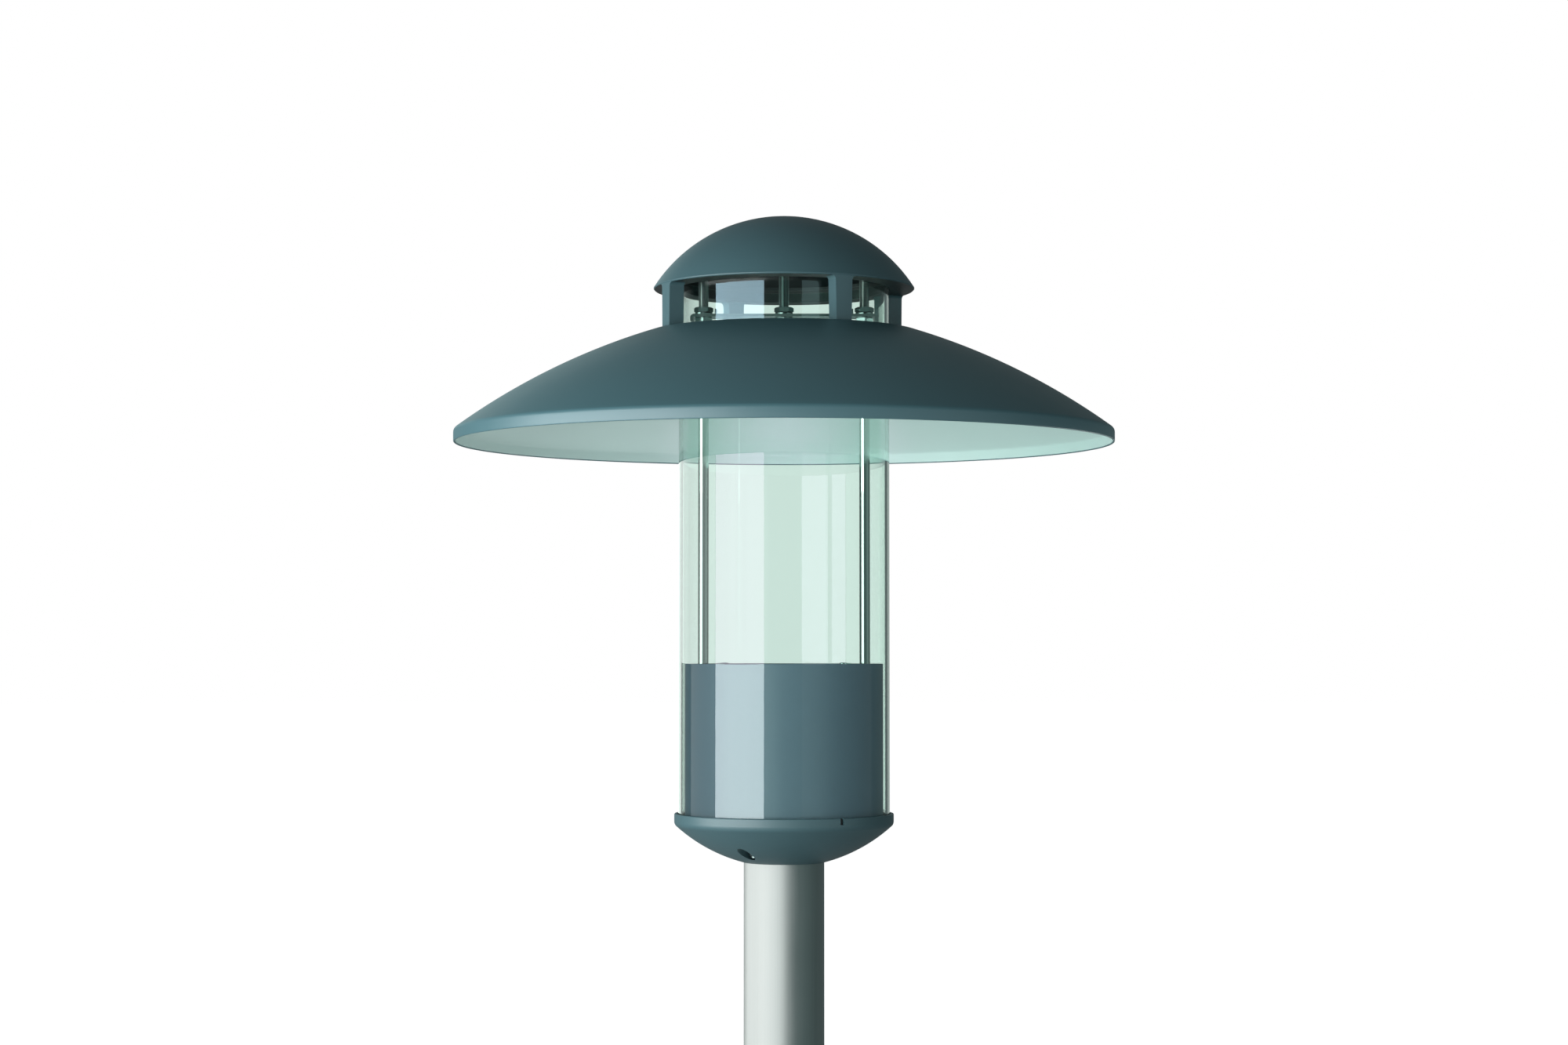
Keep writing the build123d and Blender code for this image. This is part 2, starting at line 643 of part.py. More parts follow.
def crossbar():
    """Folded strip between the rods, with bent-down ends and two upturned tabs."""
    bend = CROSSBAR_BEND
    reach = rod_place + nut_flat + CROSSBAR_NUT_GAP + bend
    inner = bend - CROSSBAR_THICKNESS
    low = bar_top - CROSSBAR_LIP
    outline = Line((-reach, low), (-reach, bar_top - bend))
    outline += RadiusArc((-reach, bar_top - bend), (-reach + bend, bar_top), bend)
    outline += Line((-reach + bend, bar_top), (reach - bend, bar_top))
    outline += RadiusArc((reach - bend, bar_top), (reach, bar_top - bend), bend)
    outline += Line((reach, bar_top - bend), (reach, low))
    outline += Line((reach, low), (reach - CROSSBAR_THICKNESS, low))
    outline += Line((reach - CROSSBAR_THICKNESS, low), (reach - CROSSBAR_THICKNESS, bar_top - bend))
    outline += RadiusArc((reach - CROSSBAR_THICKNESS, bar_top - bend), (reach - bend, bar_bottom), -inner)
    outline += Line((reach - bend, bar_bottom), (-reach + bend, bar_bottom))
    outline += RadiusArc((-reach + bend, bar_bottom), (-reach + CROSSBAR_THICKNESS, bar_top - bend), -inner)
    outline += Line((-reach + CROSSBAR_THICKNESS, bar_top - bend), (-reach + CROSSBAR_THICKNESS, low))
    outline += Line((-reach + CROSSBAR_THICKNESS, low), (-reach, low))
    bar = extrude(Plane.XZ * make_face(outline), CROSSBAR_WIDTH / 2, both=True)
    for place in rod_columns():
        bar -= place * disc(rod_radius + 2 * THREAD_CLEARANCE, low, bar_top)
    for side in (-1, 1):
        tab = block(TAB_THICKNESS, TAB_WIDTH, bar_bottom, bar_top + TAB_HEIGHT)
        bar += Pos(side * (rod_place - nut_corner - TAB_GAP - TAB_THICKNESS / 2), 0, 0) * tab
    return bar


def spring_washers():
    """Spring washers under the upper nuts."""
    return group(place * spring_washer(bar_top) for place in rod_columns())


def upper_nuts():
    """Thin nuts above the crossbar."""
    return group(place * thin_nut(bar_top + SPRING_WASHER_THICKNESS) for place in rod_columns())


def lower_nuts():
    """Counter nuts under the crossbar, a flat towards its bent ends."""
    return group(place * Rot(0, 0, 30) * thin_nut(bar_bottom - nut_height) for place in rod_columns())


def dome_stud():
    """Threaded stud that pulls the dome down on the glass."""
    stud = disc(rod_radius, bar_bottom - nut_height - STUD_TAIL, boss_bottom + STUD_ENGAGEMENT)
    return chamfer(stud.edges().filter_by(GeomType.CIRCLE), ROD_CHAMFER)


def leg_blank():
    """Leg seen from outside, tapered, with hollow corners where it meets the rim."""
    foot = LEG_FOOT / 2
    top = LEG_WIDTH / 2
    corner = rim_bottom - LEG_CORNER
    flare = top + LEG_CORNER
    root = rim_bottom + DOME_BAND
    outline = Line((-foot, seat_top), (foot, seat_top))
    outline += Line((foot, seat_top), (top, corner))
    outline += RadiusArc((top, corner), (flare, rim_bottom), LEG_CORNER)
    outline += Line((flare, rim_bottom), (flare, root))
    outline += Line((flare, root), (-flare, root))
    outline += Line((-flare, root), (-flare, rim_bottom))
    outline += RadiusArc((-flare, rim_bottom), (-top, corner), LEG_CORNER)
    outline += Line((-top, corner), (-foot, seat_top))
    return extrude(Plane.YZ * make_face(outline), dome_rim)


def dome():
    """Domed cap with the glass socket, the stud boss and the four legs, one casting."""
    crest = dome_centre + DOME_RADIUS
    cap = (Pos(0, 0, dome_centre) * Sphere(DOME_RADIUS)) & disc(dome_rim, rim_bottom, crest)
    hollow = Pos(0, 0, dome_centre) * Sphere(DOME_RADIUS - DOME_WALL)
    cap -= hollow & disc(dome_rim, rim_bottom + DOME_FLANGE, crest)
    socket_bore = glass_outer + DOME_CLEARANCE
    socket_outer = socket_bore + SOCKET_WALL
    lip_end = socket_top + SOCKET_LIP
    cap -= disc(socket_bore, rim_bottom, rim_bottom + DOME_FLANGE)
    cap += ring(socket_outer, socket_bore, rim_bottom, lip_end)
    cap += ring(socket_outer, glass_inner - GLASS_CLEARANCE, socket_top, lip_end)
    rim_edge = cap.edges().filter_by(GeomType.CIRCLE).group_by(Axis.Z)[0].sort_by(SortBy.RADIUS)[-1]
    cap = chamfer(rim_edge, DOME_EDGE)
    cap += disc(DOME_BOSS_DIAMETER / 2, boss_bottom, dome_ceiling + DOME_WALL / 2)
    cap -= disc(rod_radius + THREAD_CLEARANCE, boss_bottom, boss_bottom + STUD_ENGAGEMENT + TAPPED_EXTRA)
    band = ring(leg_outer, leg_inner, seat_top, rim_top)
    for angle in spread(LEG_COUNT, LEG_ANGLE):
        cap += (polar(angle, 0) * leg_blank()) & band
    depth = SHADE_SCREW_LENGTH - SHADE_THICKNESS - SHADE_WASHER_THICKNESS + TAPPED_EXTRA
    for angle in spread(LEG_COUNT, LEG_ANGLE):
        cap -= polar(angle, leg_screw_place) * disc(SHADE_SCREW / 2, seat_top, seat_top + depth)
    return cap


def shade_arc_centre():
    """Radius and level of the centre of the shade's long curve."""
    edge = SHADE_DIAMETER / 2
    corner = shade_bottom + SHADE_BAND
    run = edge - seat_radius
    rise = seat_top - corner
    chord = sqrt(run ** 2 + rise ** 2)
    back = sqrt(SHADE_ARC ** 2 - chord ** 2 / 4) / chord
    return (edge + seat_radius) / 2 - rise * back, (corner + seat_top) / 2 - run * back


def shade_form(inset):
    """Solid turned from the shade's outside, or from its inside when inset by the sheet."""
    centre_radius, centre_level = shade_arc_centre()
    arc = SHADE_ARC - inset
    edge = SHADE_DIAMETER / 2 - inset
    top = seat_top - inset
    corner = centre_level + sqrt(arc ** 2 - (edge - centre_radius) ** 2)
    seat = centre_radius + sqrt(arc ** 2 - (top - centre_level) ** 2)
    outline = Line((0, shade_bottom), (edge, shade_bottom))
    outline += Line((edge, shade_bottom), (edge, corner))
    outline += RadiusArc((edge, corner), (seat, top), -arc)
    outline += Line((seat, top), (0, top))
    outline += Line((0, top), (0, shade_bottom))
    section = make_face(outline)
    rim_corner = section.vertices().group_by(Axis.X)[-1].sort_by(Axis.Y)[-1]
    section = fillet(rim_corner, SHADE_CORNER - inset)
    seat_corner = section.vertices().group_by(Axis.Y)[-1].sort_by(Axis.X)[-1]
    section = fillet(seat_corner, SEAT_CORNER - inset)
    return revolve(Plane.XZ * section, Axis.Z)


def shade():
    """Spun sheet shade with a flat seat, a long curve and a turned-down rim."""
    form = shade_form(0) - shade_form(SHADE_THICKNESS)
    form -= disc(glass_outer + SHADE_GAP, shade_bottom, seat_top)
    for angle in spread(LEG_COUNT, LEG_ANGLE):
        form -= polar(angle, leg_screw_place) * disc(SHADE_SCREW_HOLE / 2, shade_bottom, seat_top)
    return form


def shade_washers():
    """Washers under the heads of the shade's screws."""
    top = seat_top - SHADE_THICKNESS
    washer = ring(SHADE_WASHER_DIAMETER / 2, SHADE_SCREW_HOLE / 2, top - SHADE_WASHER_THICKNESS, top)
    return group(polar(angle, leg_screw_place) * washer for angle in spread(LEG_COUNT, LEG_ANGLE))


def shade_screws():
    """Screws up through the shade into the dome's legs."""
    level = seat_top - SHADE_THICKNESS - SHADE_WASHER_THICKNESS
    fastener = Rot(180, 0, 0) * screw(SHADE_SCREW, SHADE_SCREW_LENGTH)
    return group(polar(angle, leg_screw_place, level) * fastener for angle in spread(LEG_COUNT, LEG_ANGLE))


PIECES = {
    "base_flange": base_flange(),
    "post_tube": post_tube(),
    "bowl": bowl(),
    "set_screws": set_screws(),
    "cable_grommet": cable_grommet(),
    "lower_glass_seal": lower_glass_seal(),
    "glass_tube": glass_tube(),
    "upper_glass_seal": upper_glass_seal(),
    "gear_housing": gear_housing(),
    "housing_screws": housing_screws(),
    "lid_gasket": lid_gasket(),
    "housing_lid": housing_lid(),
    "lid_screws": lid_screws(),
    "rod_grommets": rod_grommets(),
    "lens_seal": lens_seal(),
    "lens": lens(),
    "heat_sink": heat_sink(),
    "heat_sink_screws": heat_sink_screws(),
    "led_board": led_board(),
    "led_chips": led_chips(),
    "gear_tray": gear_tray(),
    "tray_screws": tray_screws(),
    "led_driver": led_driver(),
    "terminal_block": terminal_block(),
    "surge_protector": surge_protector(),
    "support_rod_left": support_rod(-1),
    "support_rod_right": support_rod(1),
    "foot_nuts": foot_nuts(),
    "crossbar": crossbar(),
    "spring_washers": spring_washers(),
    "upper_nuts": upper_nuts(),
    "lower_nuts": lower_nuts(),
    "dome_stud": dome_stud(),
    "dome": dome(),
    "shade": shade(),
    "shade_washers": shade_washers(),
    "shade_screws": shade_screws(),
}

os.makedirs("parts", exist_ok=True)
for name, piece in PIECES.items():
    export_step(piece, os.path.join("parts", name + ".step"))
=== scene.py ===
"""Mushroom bollard light: its finishes, turned shells, threads and fixings, and the studio round it.

Metres, +Z up, origin on the ground under the post. The front is the -Y side.
"""

import json
from math import atan2, cos, degrees, pi, radians, sin, sqrt, tau

import bmesh
import bpy
from bpy.props import FloatProperty, FloatVectorProperty, IntProperty, PointerProperty
from mathutils import Matrix, Vector

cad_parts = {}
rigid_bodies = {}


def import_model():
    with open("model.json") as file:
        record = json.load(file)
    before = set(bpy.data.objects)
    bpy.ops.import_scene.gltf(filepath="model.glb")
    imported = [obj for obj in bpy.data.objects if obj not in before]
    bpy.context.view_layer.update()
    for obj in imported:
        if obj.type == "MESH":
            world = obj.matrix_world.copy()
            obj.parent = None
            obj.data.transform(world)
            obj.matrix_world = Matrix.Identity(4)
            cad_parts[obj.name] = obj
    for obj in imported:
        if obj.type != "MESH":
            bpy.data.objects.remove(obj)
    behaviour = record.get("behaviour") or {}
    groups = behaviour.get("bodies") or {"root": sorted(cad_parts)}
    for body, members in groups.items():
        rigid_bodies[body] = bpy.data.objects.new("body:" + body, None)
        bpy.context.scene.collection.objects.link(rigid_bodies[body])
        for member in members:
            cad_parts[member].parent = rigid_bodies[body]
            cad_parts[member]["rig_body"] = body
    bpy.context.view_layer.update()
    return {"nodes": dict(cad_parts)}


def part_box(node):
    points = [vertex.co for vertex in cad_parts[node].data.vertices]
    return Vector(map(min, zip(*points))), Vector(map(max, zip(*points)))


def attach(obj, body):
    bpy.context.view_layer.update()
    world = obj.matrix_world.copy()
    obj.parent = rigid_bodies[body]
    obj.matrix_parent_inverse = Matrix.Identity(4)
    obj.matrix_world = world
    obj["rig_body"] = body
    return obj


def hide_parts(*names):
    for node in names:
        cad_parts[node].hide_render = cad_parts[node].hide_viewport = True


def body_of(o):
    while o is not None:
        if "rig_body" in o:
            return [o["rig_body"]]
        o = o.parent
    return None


bl_info = {
    "name": "Mushroom bollard light",
    "version": (1, 0, 0),
    "blender": (4, 5, 0),
    "location": "View3D > Sidebar > Bollard",
    "description": "Finishes, turned shells, threads, fixings and studio of a mushroom bollard light",
    "category": "Add Mesh",
}

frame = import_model()
MM = 0.001


def low(node):
    """Lowest level of a node."""
    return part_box(node)[0][2]


def high(node):
    """Highest level of a node."""
    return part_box(node)[1][2]


def reach(node):
    """Largest distance of a node from the axis, along X."""
    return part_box(node)[1][0]


# Settings that a user would change

def size_setting(name, description, default):
    """Setting for a length in metres."""
    return FloatProperty(name=name, description=description, default=default, unit="LENGTH")


def colour_setting(name, description, default):
    """Setting for a colour, in linear values."""
    return FloatVectorProperty(
        name=name, description=description, default=default, subtype="COLOR", min=0, max=1
    )


class BollardSizes(bpy.types.PropertyGroup):
    """Sizes of what is modelled here."""
    thread_pitch: size_setting("Thread pitch", "Pitch of the threads on rods and stud", 1.5 * MM)
    thread_depth: size_setting("Thread depth", "From crest to root of those threads", 0.92 * MM)
    rod_thread: size_setting(
        "Threaded end", "Length of the thread at the upper end of each rod", 62 * MM
    )
    nut_flats: size_setting("Nut size", "Across the flats of the thin nuts", 16 * MM)
    foot_thread: size_setting(
        "Foot thread", "Length of the thread that shows above each rod's foot nut", 4 * MM
    )
    glass_wall: size_setting("Glass wall", "Thickness of the glass tube", 4 * MM)
    glass_edge: size_setting("Glass edge", "Radius of the glass tube's melted ends", 0.8 * MM)
    sheet: size_setting("Shade sheet", "Thickness of the spun shade", 2 * MM)
    shade_arc: size_setting("Shade curve", "Radius of the long curve of the shade", 630 * MM)
    shade_band: size_setting("Shade band", "Height of the shade's turned-down rim", 11.5 * MM)
    shade_corner: size_setting("Shade corner", "Outer radius of the corners at rim and seat", 5 * MM)
    shade_seat: size_setting(
        "Shade seat", "Radius at which the long curve meets the flat seat", 128.2 * MM
    )
    shade_hole: size_setting("Shade hole", "Radius of the hole for the glass", 101.5 * MM)
    dome_radius: size_setting("Dome radius", "Outer radius of the dome's ball", 147 * MM)
    # How far below the top of the glass the dark painted shade inside the dome begins
    painted_shade_depth: size_setting(
        "Primer depth", "From the top of the glass down to the edge of the bare primer", 8.6 * MM
    )
    segments: IntProperty(
        name="Segments", description="Steps round a turned piece", default=240, min=24, max=720
    )


class BollardColours(bpy.types.PropertyGroup):
    """Colours of the finishes."""
    casting: colour_setting(
        "Casting paint", "Satin powder coat of dome and bowl", (0.043, 0.088, 0.101)
    )
    # The castings' grey, painted lighter on the shade to stand in for more light falling on it
    shade: colour_setting(
        "Shade paint", "Satin powder coat on top of the shade", (0.046, 0.102, 0.118)
    )
    enamel: colour_setting("Reflector white", "White inside of the shade", (0.445, 0.553, 0.538))
    # Painted shade: a dark colour on the dome's inward faces, where shade falls
    primer: colour_setting("Primer", "Bare dark primer inside the dome", (0.010, 0.015, 0.017))
    housing: colour_setting("Housing paint", "Satin paint of the gear housing", (0.082, 0.122, 0.168))
    glass: colour_setting("Glass tint", "Tint of one wall of the glass", (0.82, 0.93, 0.885))
    rubber: colour_setting("Rubber", "Seals and grommets", (0.018, 0.02, 0.02))


class BollardStudio(bpy.types.PropertyGroup):
    """Camera."""
    distance: size_setting("Camera distance", "From the camera to the post's axis", 2.736)
    height: size_setting("Camera height", "Height of the camera above the ground", 0.5875)
    tilt: FloatProperty(
        name="Camera tilt", description="Upward tilt of the camera",
        default=radians(2.54), subtype="ANGLE",
    )
    lens: FloatProperty(
        name="Focal length", description="On a sensor 36 mm wide", default=66.24, unit="CAMERA"
    )


# Helpers for node trees

def rgba(colour):
    """Colour with full alpha."""
    return (*colour, 1.0)


def add_node(tree, kind, settings=None, **inputs):
    """New node in a tree. An input given as a socket is linked, any other sets the input's value.

    Underscores in an input's name stand for spaces, and a name such as in_1 is the input's place.
    """
    made = tree.nodes.new(kind)
    for name, value in (settings or {}).items():
        setattr(made, name, value)
    for name, value in inputs.items():
        key = int(name[3:]) if name.startswith("in_") else name.replace("_", " ")
        if isinstance(value, bpy.types.NodeSocket):
            tree.links.new(value, made.inputs[key])
        else:
            made.inputs[key].default_value = value
    return made


def math(tree, operation, *values, clamp=False):
    """Result of a Math node."""
    inputs = {f"in_{place}": value for place, value in enumerate(values)}
    settings = {"operation": operation, "use_clamp": clamp}
    return add_node(tree, "ShaderNodeMath", settings, **inputs).outputs[0]


def vector_math(tree, operation, **inputs):
    """Outputs of a Vector Math node."""
    return add_node(tree, "ShaderNodeVectorMath", {"operation": operation}, **inputs).outputs


def mixed(tree, factor, first, second):
    """Result of a colour Mix node."""
    settings = {"data_type": "RGBA"}
    return add_node(tree, "ShaderNodeMix", settings, in_0=factor, in_6=first, in_7=second).outputs[2]


def mixed_shaders(tree, factor, first, second):
    """Result of a Mix Shader node."""
    return add_node(tree, "ShaderNodeMixShader", in_0=factor, in_1=first, in_2=second).outputs[0]


def noise(tree, place, scale, detail, roughness=0.5):
    """Value of a Noise Texture node."""
    return add_node(
        tree, "ShaderNodeTexNoise", Vector=place, Scale=scale, Detail=detail, Roughness=roughness
    ).outputs["Fac"]


def coordinates(tree):
    """Coordinates of the piece itself."""
    return add_node(tree, "ShaderNodeTexCoord").outputs


def ramp(tree, value, stops):
    """Value mapped through a colour ramp of (place, colour) stops, in order."""
    made = add_node(tree, "ShaderNodeValToRGB", Fac=value)
    elements = made.color_ramp.elements
    for place, colour in stops[1:-1]:
        elements.new(place)
    for element, (place, colour) in zip(elements, stops):
        element.color = rgba(colour)
    return made.outputs[0]


def node_group(name, kind, inputs, outputs):
    """Node group with named sockets, given as (name, kind, default), and its two end nodes."""
    tree = bpy.data.node_groups.new(name, kind)
    for way, sockets in (("INPUT", inputs), ("OUTPUT", outputs)):
        for socket, socket_kind, default in sockets:
            made = tree.interface.new_socket(socket, in_out=way, socket_type="NodeSocket" + socket_kind)
            if default is not None:
                made.default_value = default
    return tree, tree.nodes.new("NodeGroupInput"), tree.nodes.new("NodeGroupOutput")


def effect_group(name, inputs):
    """Shader node group of a finish, which puts out its colour, roughness and height."""
    outputs = [("Colour", "Color", None), ("Roughness", "Float", None), ("Height", "Float", None)]
    return node_group(name, "ShaderNodeTree", inputs, outputs)


def link_all(tree, node, **values):
    """Links values to a node's inputs by name."""
    for name, value in values.items():
        tree.links.new(value, node.inputs[name])


def place_group(tree, name, **inputs):
    """A node group placed in a material."""
    return add_node(tree, "ShaderNodeGroup", {"node_tree": bpy.data.node_groups[name]}, **inputs)


# Helpers for meshes

def arc(centre, radius, start, end, steps):
    """Points of an arc of an outline, its angles in degrees from outwards towards up."""
    points = []
    for step in range(steps + 1):
        angle = radians(start + (end - start) * step / steps)
        points.append((centre[0] + radius * cos(angle), centre[1] + radius * sin(angle)))
    return points


def placed(name, data):
    """New object in the scene."""
    made = bpy.data.objects.new(name, data)
    bpy.context.scene.collection.objects.link(made)
    return made


def mesh_object(name, points, faces=(), edges=()):
    """Object made from plain points, in the scene."""
    mesh = bpy.data.meshes.new(name)
    mesh.from_pydata(points, edges, faces)
    mesh.validate()
    return placed(name, mesh)


def discard(piece):
    """Removes a helper object and its mesh."""
    mesh = piece.data
    bpy.data.objects.remove(piece)
    bpy.data.meshes.remove(mesh)


def smooth(piece, angle):
    """Smooth shading with sharp edges where faces meet at more than an angle."""
    piece.data.shade_smooth()
    piece.data.set_sharp_from_angle(angle=radians(angle))


def outward(piece):
    """Welds a piece and turns its faces outwards."""
    shape = bmesh.new()
    shape.from_mesh(piece.data)
    bmesh.ops.remove_doubles(shape, verts=shape.verts, dist=1e-7)
    bmesh.ops.dissolve_degenerate(shape, edges=shape.edges, dist=1e-7)
    bmesh.ops.recalc_face_normals(shape, faces=shape.faces)
    shape.to_mesh(piece.data)
    shape.free()


def geometry_tree(name, sockets):
    """Geometry node group with named inputs."""
    shape = [("Geometry", "Geometry", None)]
    return node_group(name, "GeometryNodeTree", shape + sockets, shape)


def grown(name, tree_name, **inputs):
    """New plain mesh object from a geometry tree, with its inputs given by name."""
    tree = bpy.data.node_groups[tree_name]
    carrier = mesh_object(name + "_carrier", [(0, 0, 0)])
    modifier = carrier.modifiers.new(tree_name, "NODES")
    modifier.node_group = tree
    sockets = {
        item.name: item.identifier
        for item in tree.interface.items_tree if item.in_out == "INPUT"
    }
    for key, value in inputs.items():
        modifier[sockets[key.replace("_", " ")]] = value
    bpy.context.view_layer.update()
    graph = bpy.context.evaluated_depsgraph_get()
    mesh = bpy.data.meshes.new_from_object(carrier.evaluated_get(graph))
    mesh.name = name
    mesh.materials.clear()
    mesh.materials.append(inputs["Material"])
    mesh.polygons.foreach_set("material_index", [0] * len(mesh.polygons))
    discard(carrier)
    return placed(name, mesh)


def settle(piece, node):
    """Fixes a finished piece to the object in place of the node that it stands for."""
    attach(piece, "root")
    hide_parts(node)


def round_place(tree, radius, angle, level):
    """Place at a radius, an angle and a level round the axis."""
    return add_node(
        tree, "ShaderNodeCombineXYZ",
        X=math(tree, "MULTIPLY", radius, math(tree, "COSINE", angle)),
        Y=math(tree, "MULTIPLY", radius, math(tree, "SINE", angle)),
        Z=level,
    ).outputs[0]


def end_tree(tree, geometry, material, result):
    """Ends a geometry tree in plain mesh that wears its material."""
    whole = add_node(tree, "GeometryNodeRealizeInstances", Geometry=geometry)
    coated = add_node(
        tree, "GeometryNodeSetMaterial", Geometry=whole.outputs[0], Material=material
    )
    tree.links.new(coated.outputs[0], result.inputs[0])


def build_turned_tree():
    """Shell turned from an outline, with a thread cut into its ends where one is asked for."""
    tree, given, result = geometry_tree("Turned piece", [
        ("Outline", "Object", None),
        ("Segments", "Int", 96),
        ("Crest", "Float", 0.0),
        ("Pitch", "Float", 1.5 * MM),
        ("Depth", "Float", 0.0),
        ("Lower end", "Float", -1.0),
        ("Upper start", "Float", -1.0),
        ("Material", "Material", None),
    ])
    give = given.outputs
    outline = add_node(tree, "GeometryNodeObjectInfo", Object=give["Outline"]).outputs["Geometry"]
    count = add_node(
        tree, "GeometryNodeAttributeDomainSize", {"component": "MESH"}, Geometry=outline
    ).outputs["Point Count"]
    steps = math(tree, "ADD", give["Segments"], 1.0)
    grid = add_node(
        tree, "GeometryNodeMeshGrid", Size_X=1.0, Size_Y=1.0, Vertices_X=steps, Vertices_Y=count
    ).outputs["Mesh"]
    position = add_node(tree, "GeometryNodeInputPosition").outputs[0]
    place = add_node(tree, "ShaderNodeSeparateXYZ", in_0=position)
    angle = math(tree, "MULTIPLY", math(tree, "ADD", place.outputs["X"], 0.5), tau)
    along = math(tree, "ADD", place.outputs["Y"], 0.5)
    row = math(tree, "ROUND", math(tree, "MULTIPLY", along, math(tree, "SUBTRACT", count, 1.0)))
    sampled = add_node(
        tree, "GeometryNodeSampleIndex", {"data_type": "FLOAT_VECTOR", "domain": "POINT"},
        Geometry=outline, Value=position, Index=row,
    ).outputs[0]
    point = add_node(tree, "ShaderNodeSeparateXYZ", in_0=sampled)
    radius, level = point.outputs["X"], point.outputs["Z"]
    climbed = math(tree, "DIVIDE", level, give["Pitch"])
    saw = math(tree, "FRACT", math(tree, "SUBTRACT", climbed, math(tree, "DIVIDE", angle, tau)))
    ridge = math(tree, "ABSOLUTE", math(tree, "MULTIPLY_ADD", saw, 2.0, -1.0))
    flank = math(tree, "MULTIPLY_ADD", ridge, 1.3, -0.15, clamp=True)
    below = math(tree, "LESS_THAN", level, give["Lower end"])
    above = math(tree, "GREATER_THAN", level, give["Upper start"])
    cut = math(tree, "MULTIPLY", math(tree, "MAXIMUM", below, above), give["Depth"])
    crest = math(tree, "SUBTRACT", give["Crest"], math(tree, "MULTIPLY", flank, cut))
    threaded = math(tree, "MINIMUM", radius, crest)
    wanted = math(tree, "GREATER_THAN", give["Depth"], 0.0)
    final = add_node(
        tree, "GeometryNodeSwitch", {"input_type": "FLOAT"}, Switch=wanted, in_1=radius, in_2=threaded
    ).outputs[0]
    turned_to = round_place(tree, final, angle, level)
    moved = add_node(tree, "GeometryNodeSetPosition", Geometry=grid, Position=turned_to).outputs[0]
    welded = add_node(tree, "GeometryNodeMergeByDistance", Geometry=moved, Distance=0.002 * MM)
    end_tree(tree, welded.outputs[0], give["Material"], result)


def build_pattern_tree():
    """Copies of a piece set round the axis, each turned with its place."""
    tree, given, result = geometry_tree("Round pattern", [
        ("Piece", "Object", None),
        ("Count", "Int", 4),
        ("Radius", "Float", 0.1),
        ("Level", "Float", 0.0),
        ("Material", "Material", None),
    ])
    give = given.outputs
    piece = add_node(
        tree, "GeometryNodeObjectInfo", Object=give["Piece"], As_Instance=True
    ).outputs["Geometry"]
    places = add_node(tree, "GeometryNodePoints", Count=give["Count"])
    index = add_node(tree, "GeometryNodeInputIndex").outputs[0]
    angle = math(tree, "DIVIDE", math(tree, "MULTIPLY", index, tau), give["Count"])
    place = round_place(tree, give["Radius"], angle, give["Level"])
    tree.links.new(place, places.inputs["Position"])
    turn = add_node(tree, "ShaderNodeCombineXYZ", Z=angle).outputs[0]
    copies = add_node(
        tree, "GeometryNodeInstanceOnPoints", Points=places.outputs[0], Instance=piece, Rotation=turn
    )
    end_tree(tree, copies.outputs[0], give["Material"], result)


def turned(name, outline, material, segments, closed=True, **thread):
    """Piece turned from an outline of (radius, level) points."""
    if closed:
        outline = outline + outline[:1]
    edges = [(place, place + 1) for place in range(len(outline) - 1)]
    points = [(radius, 0, level) for radius, level in outline]
    guide = mesh_object(name + "_outline", points, edges=edges)
    made = grown(
        name, "Turned piece", Outline=guide, Segments=segments,
        Material=bpy.data.materials[material], **thread,
    )
    discard(guide)
    outward(made)
    return made


def patterned(name, piece, material, count, radius, level):
    """Copies of a helper piece round the axis, as one mesh; the helper is removed."""
    made = grown(
        name, "Round pattern", Piece=piece, Count=count, Radius=radius, Level=level,
        Material=bpy.data.materials[material],
    )
    discard(piece)
    return made


def joined(name, pieces):
    """Several pieces made one object."""
    shape = bmesh.new()
    for piece in pieces:
        shape.from_mesh(piece.data)
    mesh = pieces[0].data.copy()
    mesh.name = name
    shape.to_mesh(mesh)
    shape.free()
    for piece in pieces:
        discard(piece)
    return placed(name, mesh)


def stacked(name, rings, steps):
    """Closed piece from rings round the Z axis.

    A ring is its radius and level, or a function of the angle that gives them.
    """
    points = []
    for made in rings:
        for step in range(steps):
            angle = tau * step / steps
            radius, level = made(angle) if callable(made) else made
            points.append((radius * cos(angle), radius * sin(angle), level))
    faces = []
    for row in range(len(rings) - 1):
        for step in range(steps):
            after = (step + 1) % steps
            first, second = row * steps, (row + 1) * steps
            faces.append((first + step, first + after, second + after, second + step))
    piece = mesh_object(name, points, faces)
    outward(piece)
    return piece


def hexagon(flats, level, limit, slope):
    """Ring on a hexagon, lowered or raised by a chamfer cone outside a limit radius."""
    def ring(angle):
        turn = (angle + pi / 6) % (pi / 3) - pi / 6
        radius = flats / 2 / cos(turn)
        return radius, level + slope * max(0.0, radius - limit)
    return ring


# Effects that several materials use

